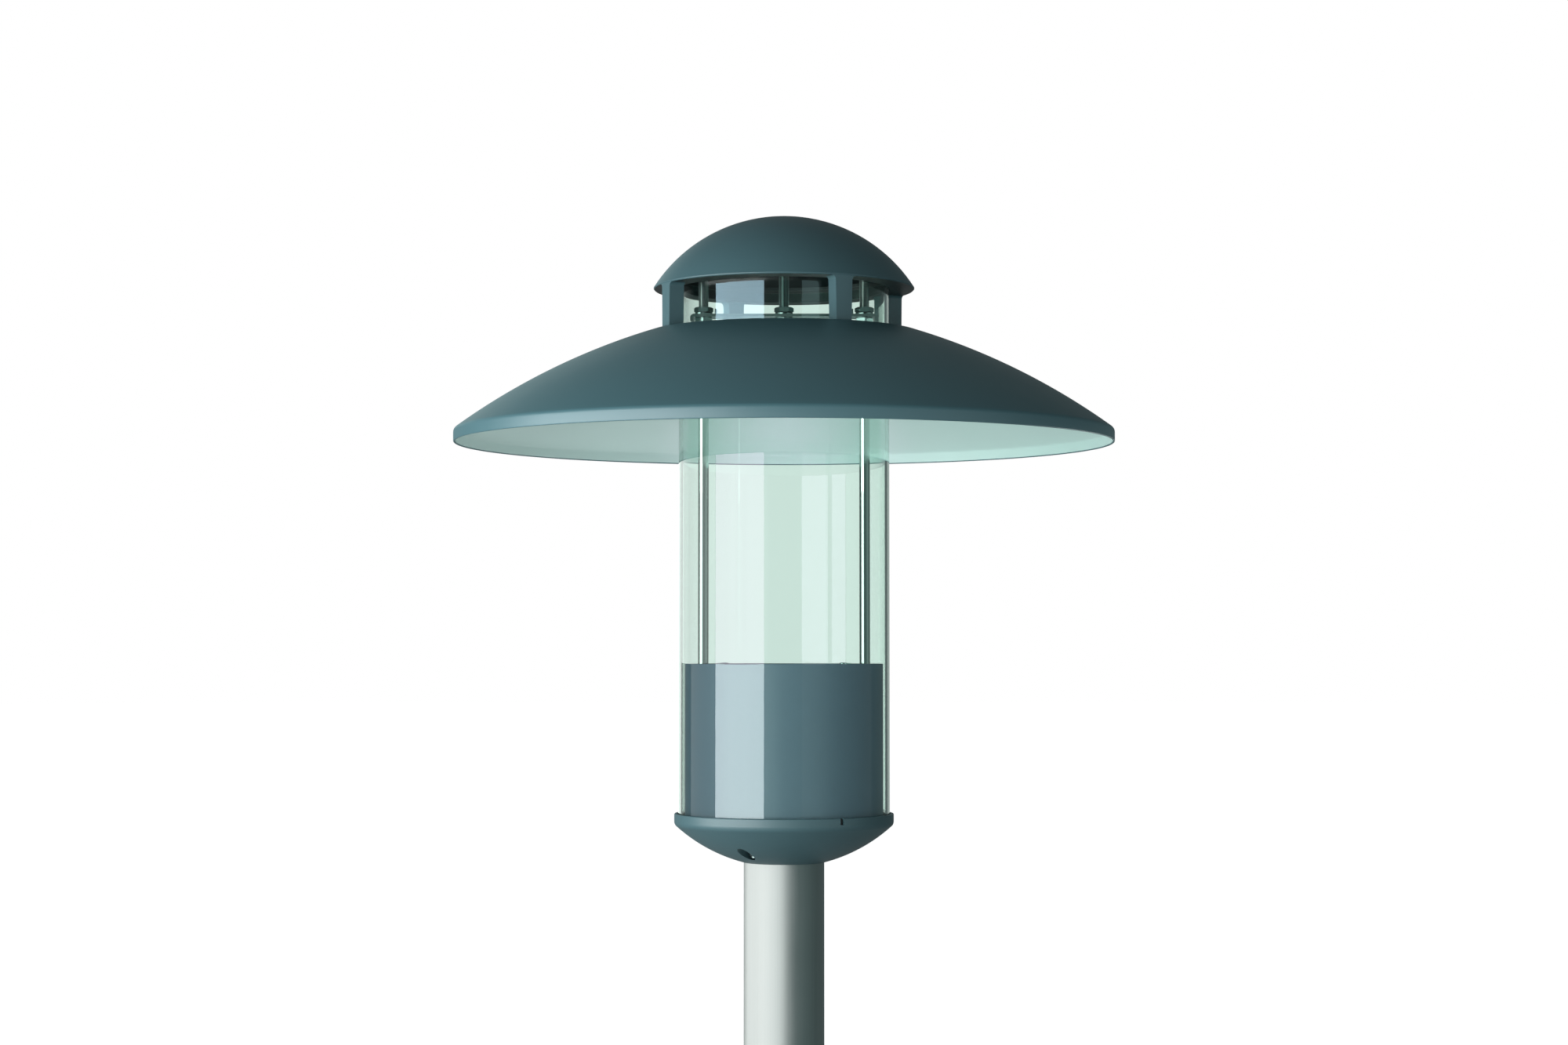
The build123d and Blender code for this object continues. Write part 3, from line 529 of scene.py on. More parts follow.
def build_powder_grain():
    """Fine orange peel of a powder coat, with slow changes of tone and gloss."""
    tree, given, result = effect_group("Powder grain", [
        ("Colour", "Color", (0.5, 0.5, 0.5, 1)),
        ("Roughness", "Float", 0.45),
        ("Variation", "Float", 0.06),
        ("Peel", "Float", 0.5),
    ])
    given = given.outputs
    place = coordinates(tree)["Object"]
    swing = math(tree, "SUBTRACT", noise(tree, place, 9.0, 4.0, 0.6), 0.5)
    peel = noise(tree, place, 620.0, 2.0, 0.45)
    fine = noise(tree, place, 2600.0, 1.0)
    lift = math(tree, "MULTIPLY_ADD", math(tree, "MULTIPLY", swing, given["Variation"]), 2.0, 1.0)
    tone = vector_math(tree, "SCALE", in_0=given["Colour"], Scale=lift)[0]
    gloss = math(tree, "MULTIPLY_ADD", swing, 0.12, given["Roughness"])
    gloss = math(tree, "MULTIPLY_ADD", math(tree, "SUBTRACT", fine, 0.5), 0.08, gloss)
    height = math(tree, "MULTIPLY_ADD", fine, 0.25, peel)
    height = math(tree, "MULTIPLY", height, given["Peel"])
    link_all(tree, result, Colour=tone, Roughness=gloss, Height=height)


def build_brushed_lines():
    """Fine lines of a brushed or drawn metal, along the direction in which the stretch is small."""
    tree, given, result = effect_group("Brushed lines", [
        ("Stretch", "Vector", (900.0, 900.0, 6.0)),
        ("Colour", "Color", (0.6, 0.6, 0.6, 1)),
        ("Roughness", "Float", 0.35),
        ("Contrast", "Float", 0.15),
    ])
    given = given.outputs
    place = coordinates(tree)["Object"]
    drawn = vector_math(tree, "MULTIPLY", in_0=place, in_1=given["Stretch"])[0]
    lines = noise(tree, drawn, 1.0, 3.0, 0.65)
    swing = math(tree, "SUBTRACT", lines, 0.5)
    drift = math(tree, "SUBTRACT", noise(tree, place, 14.0, 3.0), 0.5)
    both = math(tree, "MULTIPLY_ADD", drift, 0.6, swing)
    lift = math(tree, "MULTIPLY_ADD", both, given["Contrast"], 1.0)
    tone = vector_math(tree, "SCALE", in_0=given["Colour"], Scale=lift)[0]
    gloss = math(tree, "MULTIPLY_ADD", both, 0.16, given["Roughness"])
    link_all(tree, result, Colour=tone, Roughness=gloss, Height=lines)


# Finishes

def blank_material(name):
    """New material with an empty tree, as (material, tree)."""
    made = bpy.data.materials.new(name)
    made.use_nodes = True
    made.node_tree.nodes.clear()
    return made, made.node_tree


def textured(name, effect, depth, **values):
    """Material whose colour, gloss and surface come from an effect, its bump's depth in metres."""
    made, tree = blank_material(name)
    shader = tree.nodes.new("ShaderNodeBsdfPrincipled")
    surface = place_group(tree, effect, **values)
    tree.links.new(surface.outputs["Colour"], shader.inputs["Base Color"])
    tree.links.new(surface.outputs["Roughness"], shader.inputs["Roughness"])
    bump = add_node(
        tree, "ShaderNodeBump", Strength=1.0, Distance=depth, Height=surface.outputs["Height"]
    )
    tree.links.new(bump.outputs[0], shader.inputs["Normal"])
    add_node(tree, "ShaderNodeOutputMaterial", Surface=shader.outputs[0])
    return shader


def powder_coat(name, colour, roughness, peel=0.5, variation=0.06):
    """Satin powder coat."""
    return textured(
        name, "Powder grain", 0.02 * MM,
        Colour=rgba(colour), Roughness=roughness, Variation=variation, Peel=peel,
    )


def painted_shade_inside(shader, colour, centre, floor):
    """Paints shade on a coated casting: a dark colour on its inward faces, above one level."""
    tree = shader.id_data
    coated = shader.inputs["Base Color"].links[0].from_socket
    place = coordinates(tree)
    spoke = vector_math(tree, "SUBTRACT", in_0=place["Object"], in_1=(0, 0, centre))[0]
    facing = vector_math(tree, "DOT_PRODUCT", in_0=place["Normal"], in_1=spoke)["Value"]
    inward = math(tree, "LESS_THAN", facing, 0.0)
    height = add_node(tree, "ShaderNodeSeparateXYZ", Vector=place["Object"]).outputs["Z"]
    # Inward faces above the level get the dark painted shade
    shade_mask = math(tree, "MULTIPLY", inward, math(tree, "GREATER_THAN", height, floor))
    tree.links.new(mixed(tree, shade_mask, coated, rgba(colour)), shader.inputs["Base Color"])


def drawn_metal(name, colour, roughness, stretch, contrast=0.15, anisotropy=0.0):
    """Metal with fine lines along the direction in which the stretch is small."""
    shader = textured(
        name, "Brushed lines", 0.01 * MM,
        Colour=rgba(colour), Roughness=roughness, Stretch=stretch, Contrast=contrast,
    )
    shader.inputs["Metallic"].default_value = 1.0
    shader.inputs["Anisotropic"].default_value = anisotropy


def moulded(name, colour, roughness, variation=0.1, peel=0.6, depth=0.02 * MM):
    """Moulded plastic or rubber with a fine spark-eroded texture."""
    textured(
        name, "Powder grain", depth,
        Colour=rgba(colour), Roughness=roughness, Variation=variation, Peel=peel,
    )


def clear_glass(name, tint, ior=1.5):
    """Clear glass that lets lamps through to what is behind it.

    A ray mirrored in front of the glass passes unbent too, and one mirrored inside it leaves it bent.
    """
    made, tree = blank_material(name)
    waves = math(tree, "SUBTRACT", noise(tree, coordinates(tree)["Object"], 5.0, 2.0), 0.5)
    tone = vector_math(tree, "SCALE", in_0=tint, Scale=math(tree, "MULTIPLY_ADD", waves, 0.03, 1.0))[0]
    shader = add_node(
        tree, "ShaderNodeBsdfPrincipled",
        Base_Color=tone, Roughness=0.0, IOR=ior, Transmission_Weight=1.0,
    )
    path = add_node(tree, "ShaderNodeLightPath").outputs
    facing = math(tree, "SUBTRACT", 1.0, add_node(tree, "ShaderNodeNewGeometry").outputs["Backfacing"])
    from_air = math(tree, "MAXIMUM", facing, math(tree, "GREATER_THAN", path["Transparent Depth"], 0.5))
    mirrored = math(tree, "MULTIPLY", path["Is Reflection Ray"], from_air)
    passing = math(tree, "MAXIMUM", path["Is Shadow Ray"], mirrored)
    through = tuple(sqrt(level) for level in tint)
    clear = add_node(tree, "ShaderNodeBsdfTransparent", Color=rgba(through))
    mix = mixed_shaders(tree, passing, shader.outputs[0], clear.outputs[0])
    add_node(tree, "ShaderNodeOutputMaterial", Surface=mix)


def build_materials():
    """All the finishes, by name."""
    colours = bpy.context.scene.bollard_colours
    sizes = bpy.context.scene.bollard_sizes
    build_powder_grain()
    build_brushed_lines()
    powder_coat("casting_powder_coat", colours.casting, 0.44, peel=0.8)
    # The dome's powder coat, with a painted shade in a dark colour on its inside
    painted_shade_inside(
        powder_coat("dome_powder_coat", colours.casting, 0.44, peel=0.8), colours.primer,
        high("dome") - sizes.dome_radius, high("glass_tube") - sizes.painted_shade_depth,
    )
    # The shade's coat: the castings' grey painted lighter, as painted light
    powder_coat("shade_powder_coat", colours.shade, 0.42)
    powder_coat("housing_powder_coat", colours.housing, 0.43)
    powder_coat("shade_white", colours.enamel, 0.5, variation=0.03)
    drawn_metal("satin_stainless", (0.60, 0.64, 0.63), 0.41, (900.0, 900.0, 6.0), anisotropy=0.4)
    drawn_metal("polished_stainless", (0.70, 0.73, 0.72), 0.06, (600.0, 600.0, 3.0), contrast=0.08)
    drawn_metal("strip_stainless", (0.58, 0.62, 0.61), 0.2, (6.0, 900.0, 900.0), contrast=0.1)
    drawn_metal("plate_stainless", (0.58, 0.62, 0.61), 0.38, (6.0, 900.0, 900.0))
    drawn_metal("bright_zinc", (0.50, 0.61, 0.60), 0.18, (300.0, 300.0, 40.0), contrast=0.25)
    drawn_metal("cast_aluminium", (0.66, 0.68, 0.69), 0.42, (350.0, 350.0, 350.0), contrast=0.2)
    moulded("moulded_rubber", colours.rubber, 0.6, variation=0.25, peel=1.0, depth=0.03 * MM)
    clear_glass("tube_glass", colours.glass)
    clear_glass("clear_lens", (0.96, 0.97, 0.96), 1.49)
    moulded("board_white", (0.78, 0.80, 0.78), 0.35)
    moulded("phosphor_yellow", (0.80, 0.58, 0.06), 0.3)
    moulded("gear_white", (0.70, 0.71, 0.70), 0.42)
    moulded("gear_grey", (0.20, 0.21, 0.22), 0.45)


NODE_FINISHES = {
    "casting_powder_coat": "bowl",
    "dome_powder_coat": "dome",
    "shade_powder_coat": "shade",
    "housing_powder_coat": "gear_housing housing_lid",
    "satin_stainless": "post_tube",
    "polished_stainless": "support_rod_left support_rod_right",
    "strip_stainless": "crossbar shade_washers",
    "plate_stainless": "base_flange gear_tray",
    "bright_zinc": (
        "set_screws housing_screws lid_screws heat_sink_screws tray_screws foot_nuts"
        " spring_washers upper_nuts lower_nuts dome_stud shade_screws"
    ),
    "cast_aluminium": "heat_sink",
    "moulded_rubber": (
        "cable_grommet lower_glass_seal upper_glass_seal lid_gasket rod_grommets lens_seal"
    ),
    "tube_glass": "glass_tube",
    "clear_lens": "lens",
    "board_white": "led_board",
    "phosphor_yellow": "led_chips",
    "gear_white": "led_driver",
    "gear_grey": "terminal_block surge_protector",
}


def coat(piece, material):
    """Gives a piece one material in every slot."""
    if not piece.material_slots:
        piece.data.materials.append(bpy.data.materials[material])
    for slot in piece.material_slots:
        slot.link = "OBJECT"
        slot.material = bpy.data.materials[material]


class BOLLARD_OT_finishes(bpy.types.Operator):
    """Gives every fixed piece its finish"""
    bl_idname = "bollard.finishes"
    bl_label = "Finishes"

    def execute(self, context):
        build_materials()
        for material, nodes in NODE_FINISHES.items():
            for node in nodes.split():
                coat(frame["nodes"][node], material)
        build_turned_tree()
        build_pattern_tree()
        return {"FINISHED"}


class BOLLARD_OT_glass(bpy.types.Operator):
    """Makes the glass tube with its melted ends"""
    bl_idname = "bollard.glass"
    bl_label = "Glass tube"

    def execute(self, context):
        sizes = context.scene.bollard_sizes
        outer, edge = reach("glass_tube"), sizes.glass_edge
        inner = outer - sizes.glass_wall
        bottom, top = low("glass_tube"), high("glass_tube")
        outline = arc((outer - edge, bottom + edge), edge, -90, 0, 5)
        outline += [(outer, bottom + 2 * edge), (outer, top - 2 * edge)]
        outline += arc((outer - edge, top - edge), edge, 0, 90, 5)
        outline += arc((inner + edge, top - edge), edge, 90, 180, 5)
        outline += [(inner, top - 2 * edge), (inner, bottom + 2 * edge)]
        outline += arc((inner + edge, bottom + edge), edge, 180, 270, 5)
        tube = turned("glass_cylinder", outline, "tube_glass", sizes.segments)
        smooth(tube, 40)
        settle(tube, "glass_tube")
        return {"FINISHED"}


def shade_outline(sizes, inset):
    """Points of the shade's outside from its lower edge to its hole, or of its inside when inset."""
    edge, bottom, seat = reach("shade"), low("shade"), high("shade")
    run, rise = edge - sizes.shade_seat, seat - bottom - sizes.shade_band
    chord = sqrt(run ** 2 + rise ** 2)
    back = sqrt(sizes.shade_arc ** 2 - chord ** 2 / 4) / chord
    centre = Vector((
        (edge + sizes.shade_seat) / 2 - rise * back,
        (bottom + sizes.shade_band + seat) / 2 - run * back,
    ))
    radius, corner = sizes.shade_arc - inset, sizes.shade_corner - inset
    edge, seat = edge - inset, seat - inset
    within = radius - corner
    rim_centre = Vector((edge - corner, 0))
    rim_centre.y = centre.y + sqrt(within ** 2 - (rim_centre.x - centre.x) ** 2)
    seat_centre = Vector((0, seat - corner))
    seat_centre.x = centre.x + sqrt(within ** 2 - (seat_centre.y - centre.y) ** 2)
    rim_turn, seat_turn = (
        degrees(atan2(place.y - centre.y, place.x - centre.x)) for place in (rim_centre, seat_centre)
    )
    points = [(edge, bottom)]
    points += arc(rim_centre, corner, 0, rim_turn, 6)
    points += arc(centre, radius, rim_turn, seat_turn, 40)[1:-1]
    points += arc(seat_centre, corner, seat_turn, 90, 6)
    return points + [(sizes.shade_hole, seat)]


class BOLLARD_OT_shade(bpy.types.Operator):
    """Makes the spun shade, painted outside and white inside"""
    bl_idname = "bollard.shade"
    bl_label = "Shade"

    def execute(self, context):
        sizes = context.scene.bollard_sizes
        outside = shade_outline(sizes, 0.0)
        inside = shade_outline(sizes, sizes.sheet)
        rounding = sizes.sheet / 2
        edge, bottom = reach("shade"), low("shade")
        outside[0] = (edge, bottom + rounding)
        inside[0] = (edge - sizes.sheet, bottom + rounding)
        hem = arc((edge - rounding, bottom + rounding), rounding, 180, 360, 8)[1:-1]
        shell = turned("spun_shade", outside + inside[::-1] + hem, "shade_powder_coat", sizes.segments)
        shell.data.materials.append(bpy.data.materials["shade_white"])
        for face in shell.data.polygons:
            radius = Vector(face.center[:2]).length
            inward = face.normal.z < 0 or face.normal.xy.dot(face.center.xy) < 0
            hemmed = face.center.z < bottom + rounding and radius > edge - 2 * sizes.sheet
            face.material_index = int(inward and not hemmed and radius > sizes.shade_hole + 0.1 * MM)
        smooth(shell, 40)
        settle(shell, "shade")
        return {"FINISHED"}


def threaded_rod(name, node, plain_from, plain_to, material):
    """Round bar with a chamfer at each end, threaded below one level and above another."""
    sizes = bpy.context.scene.bollard_sizes
    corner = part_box(node)
    radius = (corner[1][0] - corner[0][0]) / 2
    place = (corner[1][0] + corner[0][0]) / 2
    bottom, top = corner[0][2], corner[1][2]
    chamfer, step = 1.0 * MM, sizes.thread_pitch / 8
    outline = [(0, bottom), (radius - chamfer, bottom)]
    level = bottom + chamfer
    while level < min(plain_from, top - chamfer):
        outline.append((radius, level))
        level += step
    if plain_to > plain_from:
        outline += [
            (radius, plain_from), (radius, plain_from + step),
            (radius, plain_to - step), (radius, plain_to),
        ]
        level = plain_to + step
    while level < top - chamfer:
        outline.append((radius, level))
        level += step
    outline += [(radius, top - chamfer), (radius - chamfer, top), (0, top)]
    bar = turned(
        name, outline, material, 40, closed=False, Crest=radius, Pitch=sizes.thread_pitch,
        Depth=sizes.thread_depth, Lower_end=plain_from, Upper_start=plain_to,
    )
    smooth(bar, 25)
    bar.data.transform(Matrix.Translation((place, 0.0, 0.0)))
    return bar


class BOLLARD_OT_rods(bpy.types.Operator):
    """Makes the two side rods and the dome's stud, with their threads"""
    bl_idname = "bollard.rods"
    bl_label = "Rods and stud"

    def execute(self, context):
        sizes = context.scene.bollard_sizes
        for side in ("left", "right"):
            node = "support_rod_" + side
            foot, shoulder = high("foot_nuts") + sizes.foot_thread, high(node) - sizes.rod_thread
            bar = threaded_rod("threaded_rod_" + side, node, foot, shoulder, "polished_stainless")
            settle(bar, node)
        # The stud is threaded all along
        beyond = high("dome_stud") + 1.0
        stud = threaded_rod("threaded_stud", "dome_stud", beyond, beyond, "bright_zinc")
        settle(stud, "dome_stud")
        return {"FINISHED"}


def hex_nut(flats, height, bore, turn):
    """Hexagon nut standing on level 0, its corners chamfered and its bore countersunk."""
    crown, slope, sink = flats * 0.475, 0.5, 0.6 * MM
    nut = stacked("blank", [
        (bore, sink), (bore + sink, 0.0), (crown, 0.0),
        hexagon(flats, 0.0, crown, slope), hexagon(flats, height, crown, -slope),
        (crown, height), (bore + sink, height), (bore, height - sink), (bore, sink),
    ], 96)
    nut.data.transform(Matrix.Rotation(turn, 4, "Z"))
    return nut


def split_washer(outer, inner, thickness, split=1.2 * MM, lift=0.35 * MM, steps=60):
    """Spring washer of square wire, its two ends a little apart in height."""
    gap = split / outer
    corner = thickness * 0.18
    section = []
    for centre, start in (
        ((outer - corner, thickness - corner), 0), ((inner + corner, thickness - corner), 90),
        ((inner + corner, corner), 180), ((outer - corner, corner), 270),
    ):
        section += arc(centre, corner, start, start + 90, 3)
    count = len(section)
    points, faces = [], []
    for step in range(steps + 1):
        share = step / steps
        angle = gap + (tau - 2 * gap) * share - pi / 2
        for radius, level in section:
            raised = level + lift * (share - 0.5) * (level / thickness)
            points.append((radius * cos(angle), radius * sin(angle), raised))
    for step in range(steps):
        for place in range(count):
            after = (place + 1) % count
            faces.append((
                step * count + place, step * count + after,
                (step + 1) * count + after, (step + 1) * count + place,
            ))
    faces.append(tuple(range(count)))
    faces.append(tuple(range(steps * count, (steps + 1) * count)))
    piece = mesh_object("blank", points, faces)
    outward(piece)
    return piece


def on_the_rods(name, node, blank, on_stud, angle):
    """Puts a node's copies of a blank on both rods, and on the stud where one belongs there."""
    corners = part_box("support_rod_right")
    place = (corners[1][0] + corners[0][0]) / 2
    made = [patterned(node + "_sides", blank(), "bright_zinc", 2, place, low(node))]
    if on_stud:
        made.append(patterned(node + "_centre", blank(), "bright_zinc", 1, 0.0, low(node)))
    whole = joined(name, made)
    smooth(whole, angle)
    settle(whole, node)


class BOLLARD_OT_nuts(bpy.types.Operator):
    """Makes the nuts and spring washers of the rods and the stud"""
    bl_idname = "bollard.nuts"
    bl_label = "Nuts and spring washers"

    def execute(self, context):
        sizes = context.scene.bollard_sizes
        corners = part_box("support_rod_right")
        radius = (corners[1][0] - corners[0][0]) / 2
        for node, turn in (("foot_nuts", pi / 6), ("upper_nuts", pi / 6), ("lower_nuts", 0.0)):
            height = high(node) - low(node)
            on_the_rods(
                "hex_" + node, node,
                lambda: hex_nut(sizes.nut_flats, height, radius + 0.05 * MM, turn),
                node != "foot_nuts", 30,
            )
        node = "spring_washers"
        outer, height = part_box(node)[1][1], high(node) - low(node)
        on_the_rods(
            "split_washers", node, lambda: split_washer(outer, radius + 0.1 * MM, height), True, 40
        )
        return {"FINISHED"}


# Studio

def softbox(name, receivers, angle, distance, band, width, radiance, tint):
    """Rectangular lamp that faces the axis, seen in reflections but not by the camera."""
    level, height = band
    data = bpy.data.lights.new(name, "AREA")
    data.shape = "RECTANGLE"
    data.size = width
    data.size_y = height
    data.energy = radiance * pi * width * height
    data.color = tint
    lamp = placed(name, data)
    azimuth = radians(angle)
    place = Vector((distance * sin(azimuth), -distance * cos(azimuth), level))
    lamp.location = place
    lamp.rotation_euler = Vector((place.x, place.y, 0)).to_track_quat("Z", "Y").to_euler()
    lamp.visible_camera = False
    lamp.visible_transmission = False
    lamp.light_linking.receiver_collection = receivers
    return lamp


def bounce_card(name, receivers, place, width, radiance, tint, turn=pi):
    """Square lamp that lies flat and faces up, or down when not turned."""
    lamp = softbox(name, receivers, 0.0, 1.0, (0.0, width), width, radiance, tint)
    lamp.location = place
    lamp.rotation_euler = (turn, 0.0, 0.0)


def kept_for(name, pieces):
    """Collection of the pieces that a lamp is kept for."""
    made = bpy.data.collections.new(name)
    for piece in pieces:
        made.objects.link(piece)
    return made


# Radiance and red tint of the studio round the object, by the angle from the front towards +X
PANORAMA = (
    (-180, 0.25, 0.90), (-145, 0.22, 0.90), (-125, 0.08, 0.85), (-85, 0.08, 0.85),
    (-60, 0.30, 1.0), (-15, 0.16, 0.75), (20, 0.14, 0.70), (60, 0.14, 0.70),
    (100, 0.08, 0.70), (150, 0.12, 0.8), (180, 0.25, 0.90),
)
PANORAMA_PEAK = 0.5
OVERHEAD = (0.10, 0.14, 0.15)

# The floor's own brightness near the post and far from it, and what it throws back at the object
FLOOR_NEAR, FLOOR_SEEN = 0.66, 0.93
FLOOR_FADE = (0.3, 1.6)
FLOOR_BOUNCE = 0.27

# Tints of the lamps
PALE = (0.93, 1.0, 1.0)
NEUTRAL = (1.0, 1.0, 0.985)
COOL = (0.93, 0.98, 1.0)
MINT = (0.92, 1.0, 0.97)

# Level and height of what the glass mirrors before the housing, before the shade and in the windows
BY_HOUSING, BY_SHADE, BY_WINDOWS = (0.185, 0.76), (0.7975, 0.465), (1.415, 0.77)

# Lamps that face the axis: name, the pieces that it lights, angle from the front towards +X,
# distance, (level, height), width, radiance and tint
LAMPS = (
    ("key_softbox", "coated", -57.0, 2.0, (0.64, 1.34), 2.9, 8.1, PALE),
    ("front_fill", "coated", -4.0, 2.4, (0.45, 0.9), 1.6, 1.9, PALE),
    ("coat_fill", "coated", 48.0, 2.0, (0.6, 1.4), 1.8, 0.55, PALE),
    ("sheen_softbox", "coated", -150.0, 2.2, (1.6, 1.0), 1.4, 0.6, (0.75, 1.0, 1.0)),
    ("back_softbox", "painted", 180.0, 2.2, (1.0, 1.6), 2.0, 3.2, PALE),
    ("can_key", "housing", -40.0, 2.0, (0.55, 1.5), 2.5, 5.0, COOL),
    ("can_fill", "housing", 25.0, 2.2, (0.5, 1.4), 1.8, 1.6, COOL),
    ("glass_key_top", "glass", -49.5, 2.0, BY_WINDOWS, 2.17, 9.7, (0.56, 0.845, 1.0)),
    ("glass_key_high", "glass", -49.5, 2.0, BY_SHADE, 2.17, 3.9, (1.0, 0.72, 0.97)),
    ("glass_key_low", "glass", -49.5, 2.0, BY_HOUSING, 2.17, 9.4, (0.87, 0.97, 1.0)),
    ("glass_fill_top", "glass", 31.7, 2.0, BY_WINDOWS, 0.92, 1.1, (0.6, 0.95, 1.0)),
    ("glass_fill_high", "glass", 31.7, 2.0, BY_SHADE, 0.92, 0.65, (1.0, 0.8, 0.95)),
    ("glass_edge_high", "glass", 59.4, 2.0, BY_SHADE, 0.66, 0.3, (1.0, 0.85, 0.95)),
    ("glass_fill_low", "glass", 63.4, 2.0, BY_HOUSING, 3.94, 0.14, PALE),
    ("glass_side_high", "glass", -113.5, 2.2, BY_SHADE, 3.02, 1.8, (0.95, 1.0, 0.97)),
    ("glass_side_low", "glass", -98.5, 2.2, BY_HOUSING, 1.65, 0.8, PALE),
    ("glass_far_high", "glass", 125.0, 2.2, BY_SHADE, 1.35, 0.05, (0.95, 1.0, 0.9)),
    ("glass_backdrop_left", "glass", -164.0, 2.2, (0.6, 3.0), 1.3, 1.7, (0.87, 1.0, 0.93)),
    ("glass_backdrop_right", "glass", 166.0, 2.2, (0.6, 3.0), 1.2, 0.45, (0.85, 1.0, 0.92)),
    ("metal_side", "brushed", -100.0, 2.0, (0.8, 3.0), 3.2, 1.25, NEUTRAL),
    ("metal_front", "brushed", -30.0, 2.0, (0.8, 3.0), 2.6, 1.2, NEUTRAL),
    ("rod_key", "rods", -49.5, 2.0, (0.325, 1.45), 2.17, 2.2, PALE),
    ("left_rod_key", "left rod", -49.5, 0.12, (0.80, 0.11), 0.13, 0.8, PALE),
    ("right_rod_key", "right rod", -49.5, 0.12, (0.80, 0.11), 0.13, 0.8, PALE),
    ("polish_key", "polished", -49.5, 2.0, (0.8, 2.4), 2.17, 1.8, PALE),
    ("polish_fill", "polished or rods", 70.0, 2.0, (0.8, 2.4), 2.2, 0.16, PALE),
)

# Spread of the lamps close to the rods
NEAR_LAMP_SPREAD = radians(70.0)

# Small lamp inside the glass that lights the inside of the shade behind it
BEAM_TILT = radians(33.0)
BEAM_SPREAD = radians(40.0)


def camera_or_through(tree, path):
    """1 for rays straight from the camera or seen through glass, else 0."""
    bounces = math(tree, "ADD", path["Diffuse Depth"], path["Glossy Depth"])
    direct = math(tree, "LESS_THAN", bounces, 0.5)
    through = math(tree, "MULTIPLY", path["Is Transmission Ray"], direct)
    return math(tree, "MAXIMUM", path["Is Camera Ray"], through)


def studio_world():
    """White backdrop, with a bright side and a dark side for light and reflections."""
    world = bpy.data.worlds.new("studio")
    world.use_nodes = True
    tree = world.node_tree
    tree.nodes.clear()
    way = add_node(tree, "ShaderNodeSeparateXYZ", Vector=coordinates(tree)["Generated"]).outputs
    back = math(tree, "MULTIPLY", way["Y"], -1.0)
    share = math(tree, "MULTIPLY_ADD", math(tree, "ARCTAN2", way["X"], back), 1 / tau, 0.5)
    round_about = ramp(tree, share, [
        (angle / 360 + 0.5, (level * tint / PANORAMA_PEAK, level / PANORAMA_PEAK, level / PANORAMA_PEAK))
        for angle, level, tint in PANORAMA
    ])
    rise = math(tree, "POWER", math(tree, "MAXIMUM", way["Z"], 0.0), 1.5)
    overhead = tuple(level / PANORAMA_PEAK for level in OVERHEAD)
    surround = mixed(tree, rise, round_about, rgba(overhead))
    lit = add_node(tree, "ShaderNodeBackground", Color=surround, Strength=PANORAMA_PEAK)
    white = add_node(tree, "ShaderNodeBackground", Color=(1, 1, 1, 1), Strength=1.0)
    seen = camera_or_through(tree, add_node(tree, "ShaderNodeLightPath").outputs)
    mix = mixed_shaders(tree, seen, lit.outputs[0], white.outputs[0])
    add_node(tree, "ShaderNodeOutputWorld", Surface=mix)
    bpy.context.scene.world = world


def studio_floor(radius=30.0, steps=96):
    """Pale floor that keeps the object's shadow and runs into the white backdrop.

    Rays that were mirrored inside the glass don't see it, because its edge would show there as a step.
    """
    turns = [tau * step / steps for step in range(steps)]
    rim = [(radius * cos(turn), radius * sin(turn), 0.0) for turn in turns]
    floor = mesh_object("floor", rim, [tuple(range(steps))])
    made, tree = blank_material("pale_floor")
    path = add_node(tree, "ShaderNodeLightPath").outputs
    seen = camera_or_through(tree, path)
    colour = mixed(tree, seen, rgba((0.55, 0.60, 0.60)), rgba((0.8, 0.8, 0.8)))
    far = vector_math(tree, "LENGTH", in_0=coordinates(tree)["Object"])["Value"]
    shown = add_node(
        tree, "ShaderNodeMapRange", {"interpolation_type": "SMOOTHSTEP"}, Value=far,
        From_Min=FLOOR_FADE[0], From_Max=FLOOR_FADE[1], To_Min=FLOOR_NEAR, To_Max=FLOOR_SEEN,
    )
    matt = add_node(tree, "ShaderNodeBsdfDiffuse", Color=colour)
    level = mixed(tree, seen, rgba((FLOOR_BOUNCE,) * 3), shown.outputs["Result"])
    glow = add_node(tree, "ShaderNodeEmission", Color=(1, 0.98, 0.98, 1), Strength=level)
    both = add_node(tree, "ShaderNodeAddShader", in_0=matt.outputs[0], in_1=glow.outputs[0])
    echo = math(tree, "SUBTRACT", path["Is Transmission Ray"], seen, clamp=True)
    gone = add_node(tree, "ShaderNodeBsdfTransparent")
    mix = mixed_shaders(tree, echo, both.outputs[0], gone.outputs[0])
    add_node(tree, "ShaderNodeOutputMaterial", Surface=mix)
    floor.data.materials.append(made)
    floor.visible_glossy = False
    alone = kept_for("floor_alone", [floor])
    bounce_card("floor_softbox", alone, (-0.7, -0.7, 3.0), 2.0, 2.6, (1.0, 1.0, 1.0), turn=0.0)


def finish_of(piece):
    """Name of a piece's outer finish."""
    return piece.material_slots[0].material.name


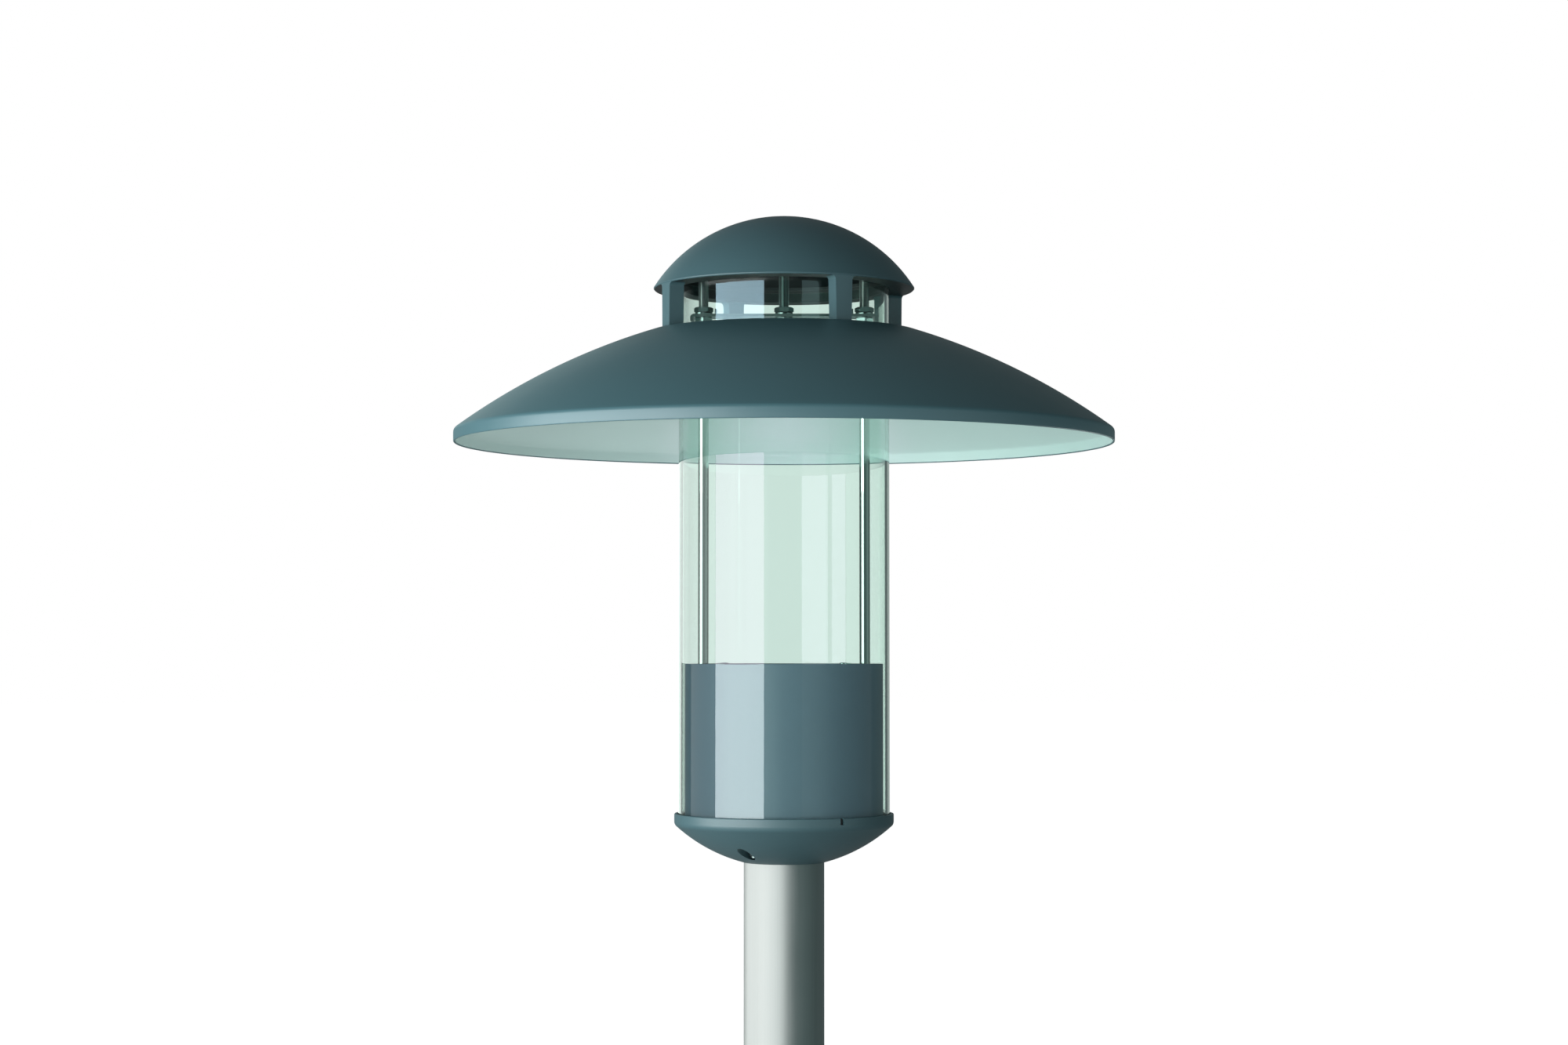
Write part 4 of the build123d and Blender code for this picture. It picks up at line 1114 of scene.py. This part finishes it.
def lit_pieces():
    """Collections of the visible pieces by their finish, as the lamps need them."""
    scene = bpy.context.scene
    shown = [piece for piece in scene.objects if piece.type == "MESH" and body_of(piece)]
    glass = ("tube_glass",)
    brushed = ("satin_stainless", "plate_stainless", "cast_aluminium")
    polished = ("strip_stainless", "bright_zinc")
    rods = ("polished_stainless",)
    housing = ("housing_powder_coat",)
    painted = ("casting_powder_coat", "dome_powder_coat", "shade_powder_coat") + housing
    others = {finish_of(piece) for piece in shown}
    others -= set(glass + brushed + polished + rods + housing)
    groups = {
        "glass": glass, "brushed": brushed, "polished": polished, "rods": rods,
        "polished or rods": polished + rods, "housing": housing, "coated": others,
        "shade": ("shade_powder_coat",), "painted": painted, "bowl": ("casting_powder_coat",),
    }
    made = {
        name: kept_for(name, [piece for piece in shown if finish_of(piece) in names])
        for name, names in groups.items()
    }
    for side in ("left", "right"):
        made[side + " rod"] = kept_for(side + " rod", [scene.objects["threaded_rod_" + side]])
    return made


def studio_camera():
    """Camera at the height and angle of the front view."""
    scene = bpy.context.scene
    studio = scene.bollard_studio
    data = bpy.data.cameras.new("camera")
    data.lens = studio.lens
    data.sensor_width = 36.0
    camera = placed("camera", data)
    camera.location = (0.0, -studio.distance, studio.height)
    camera.rotation_euler = (radians(90) + studio.tilt, 0.0, 0.0)
    scene.camera = camera


def studio_lamps():
    """Lamps round the object, each kept for the pieces that it is there for."""
    lit = lit_pieces()
    lamps = {name: softbox(name, lit[pieces], *lamp) for name, pieces, *lamp in LAMPS}
    lamps["back_softbox"].visible_glossy = False
    for side in ("left", "right"):
        near = lamps[side + "_rod_key"]
        near.data.spread = NEAR_LAMP_SPREAD
        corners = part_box("support_rod_" + side)
        near.location.x += (corners[0][0] + corners[1][0]) / 2
    bounce_card("bowl_bounce", lit["bowl"], (-0.9, -0.5, 0.02), 1.2, 0.4, PALE)
    bounce_card("shade_bounce", lit["shade"], (-0.6, -0.1, 0.02), 1.2, 0.74, MINT)
    softbox("shade_under", lit["shade"], 118.0, 1.4, (0.22, 0.4), 1.2, 4.2, MINT)
    beam = softbox("shade_beam", lit["shade"], 0.0, 0.02, (0.62, 0.05), 0.05, 7.6, (1.0, 0.42, 0.7))
    beam.rotation_euler = (radians(90.0) + BEAM_TILT, 0.0, 0.0)
    beam.data.spread = BEAM_SPREAD


class BOLLARD_OT_stage(bpy.types.Operator):
    """Makes the camera, the lamps, the backdrop and the floor"""
    bl_idname = "bollard.stage"
    bl_label = "Studio"

    def execute(self, context):
        context.scene.view_settings.view_transform = "Standard"
        studio_camera()
        studio_world()
        studio_floor()
        studio_lamps()
        return {"FINISHED"}


class BOLLARD_PT_sidebar(bpy.types.Panel):
    """Sizes, colours and steps of the bollard light"""
    bl_label = "Bollard light"
    bl_space_type = "VIEW_3D"
    bl_region_type = "UI"
    bl_category = "Bollard"

    def draw(self, context):
        layout = self.layout
        scene = context.scene
        for group in (scene.bollard_sizes, scene.bollard_colours, scene.bollard_studio):
            box = layout.box()
            for name in group.__annotations__:
                box.prop(group, name)
        for operator in OPERATORS:
            layout.operator(operator.bl_idname)


GROUPS = (BollardSizes, BollardColours, BollardStudio)
OPERATORS = (
    BOLLARD_OT_finishes, BOLLARD_OT_glass, BOLLARD_OT_shade, BOLLARD_OT_rods, BOLLARD_OT_nuts,
    BOLLARD_OT_stage,
)
CLASSES = GROUPS + OPERATORS + (BOLLARD_PT_sidebar,)


def register():
    """Registers the classes and their settings."""
    for made in CLASSES:
        bpy.utils.register_class(made)
    bpy.types.Scene.bollard_sizes = PointerProperty(type=BollardSizes)
    bpy.types.Scene.bollard_colours = PointerProperty(type=BollardColours)
    bpy.types.Scene.bollard_studio = PointerProperty(type=BollardStudio)


def unregister():
    """Takes the classes and their settings away again."""
    del bpy.types.Scene.bollard_studio
    del bpy.types.Scene.bollard_colours
    del bpy.types.Scene.bollard_sizes
    for made in reversed(CLASSES):
        bpy.utils.unregister_class(made)


def main():
    """Makes the whole model."""
    register()
    bpy.ops.bollard.finishes()
    bpy.ops.bollard.glass()
    bpy.ops.bollard.shade()
    bpy.ops.bollard.rods()
    bpy.ops.bollard.nuts()
    bpy.ops.bollard.stage()


if __name__ == "__main__":
    main()
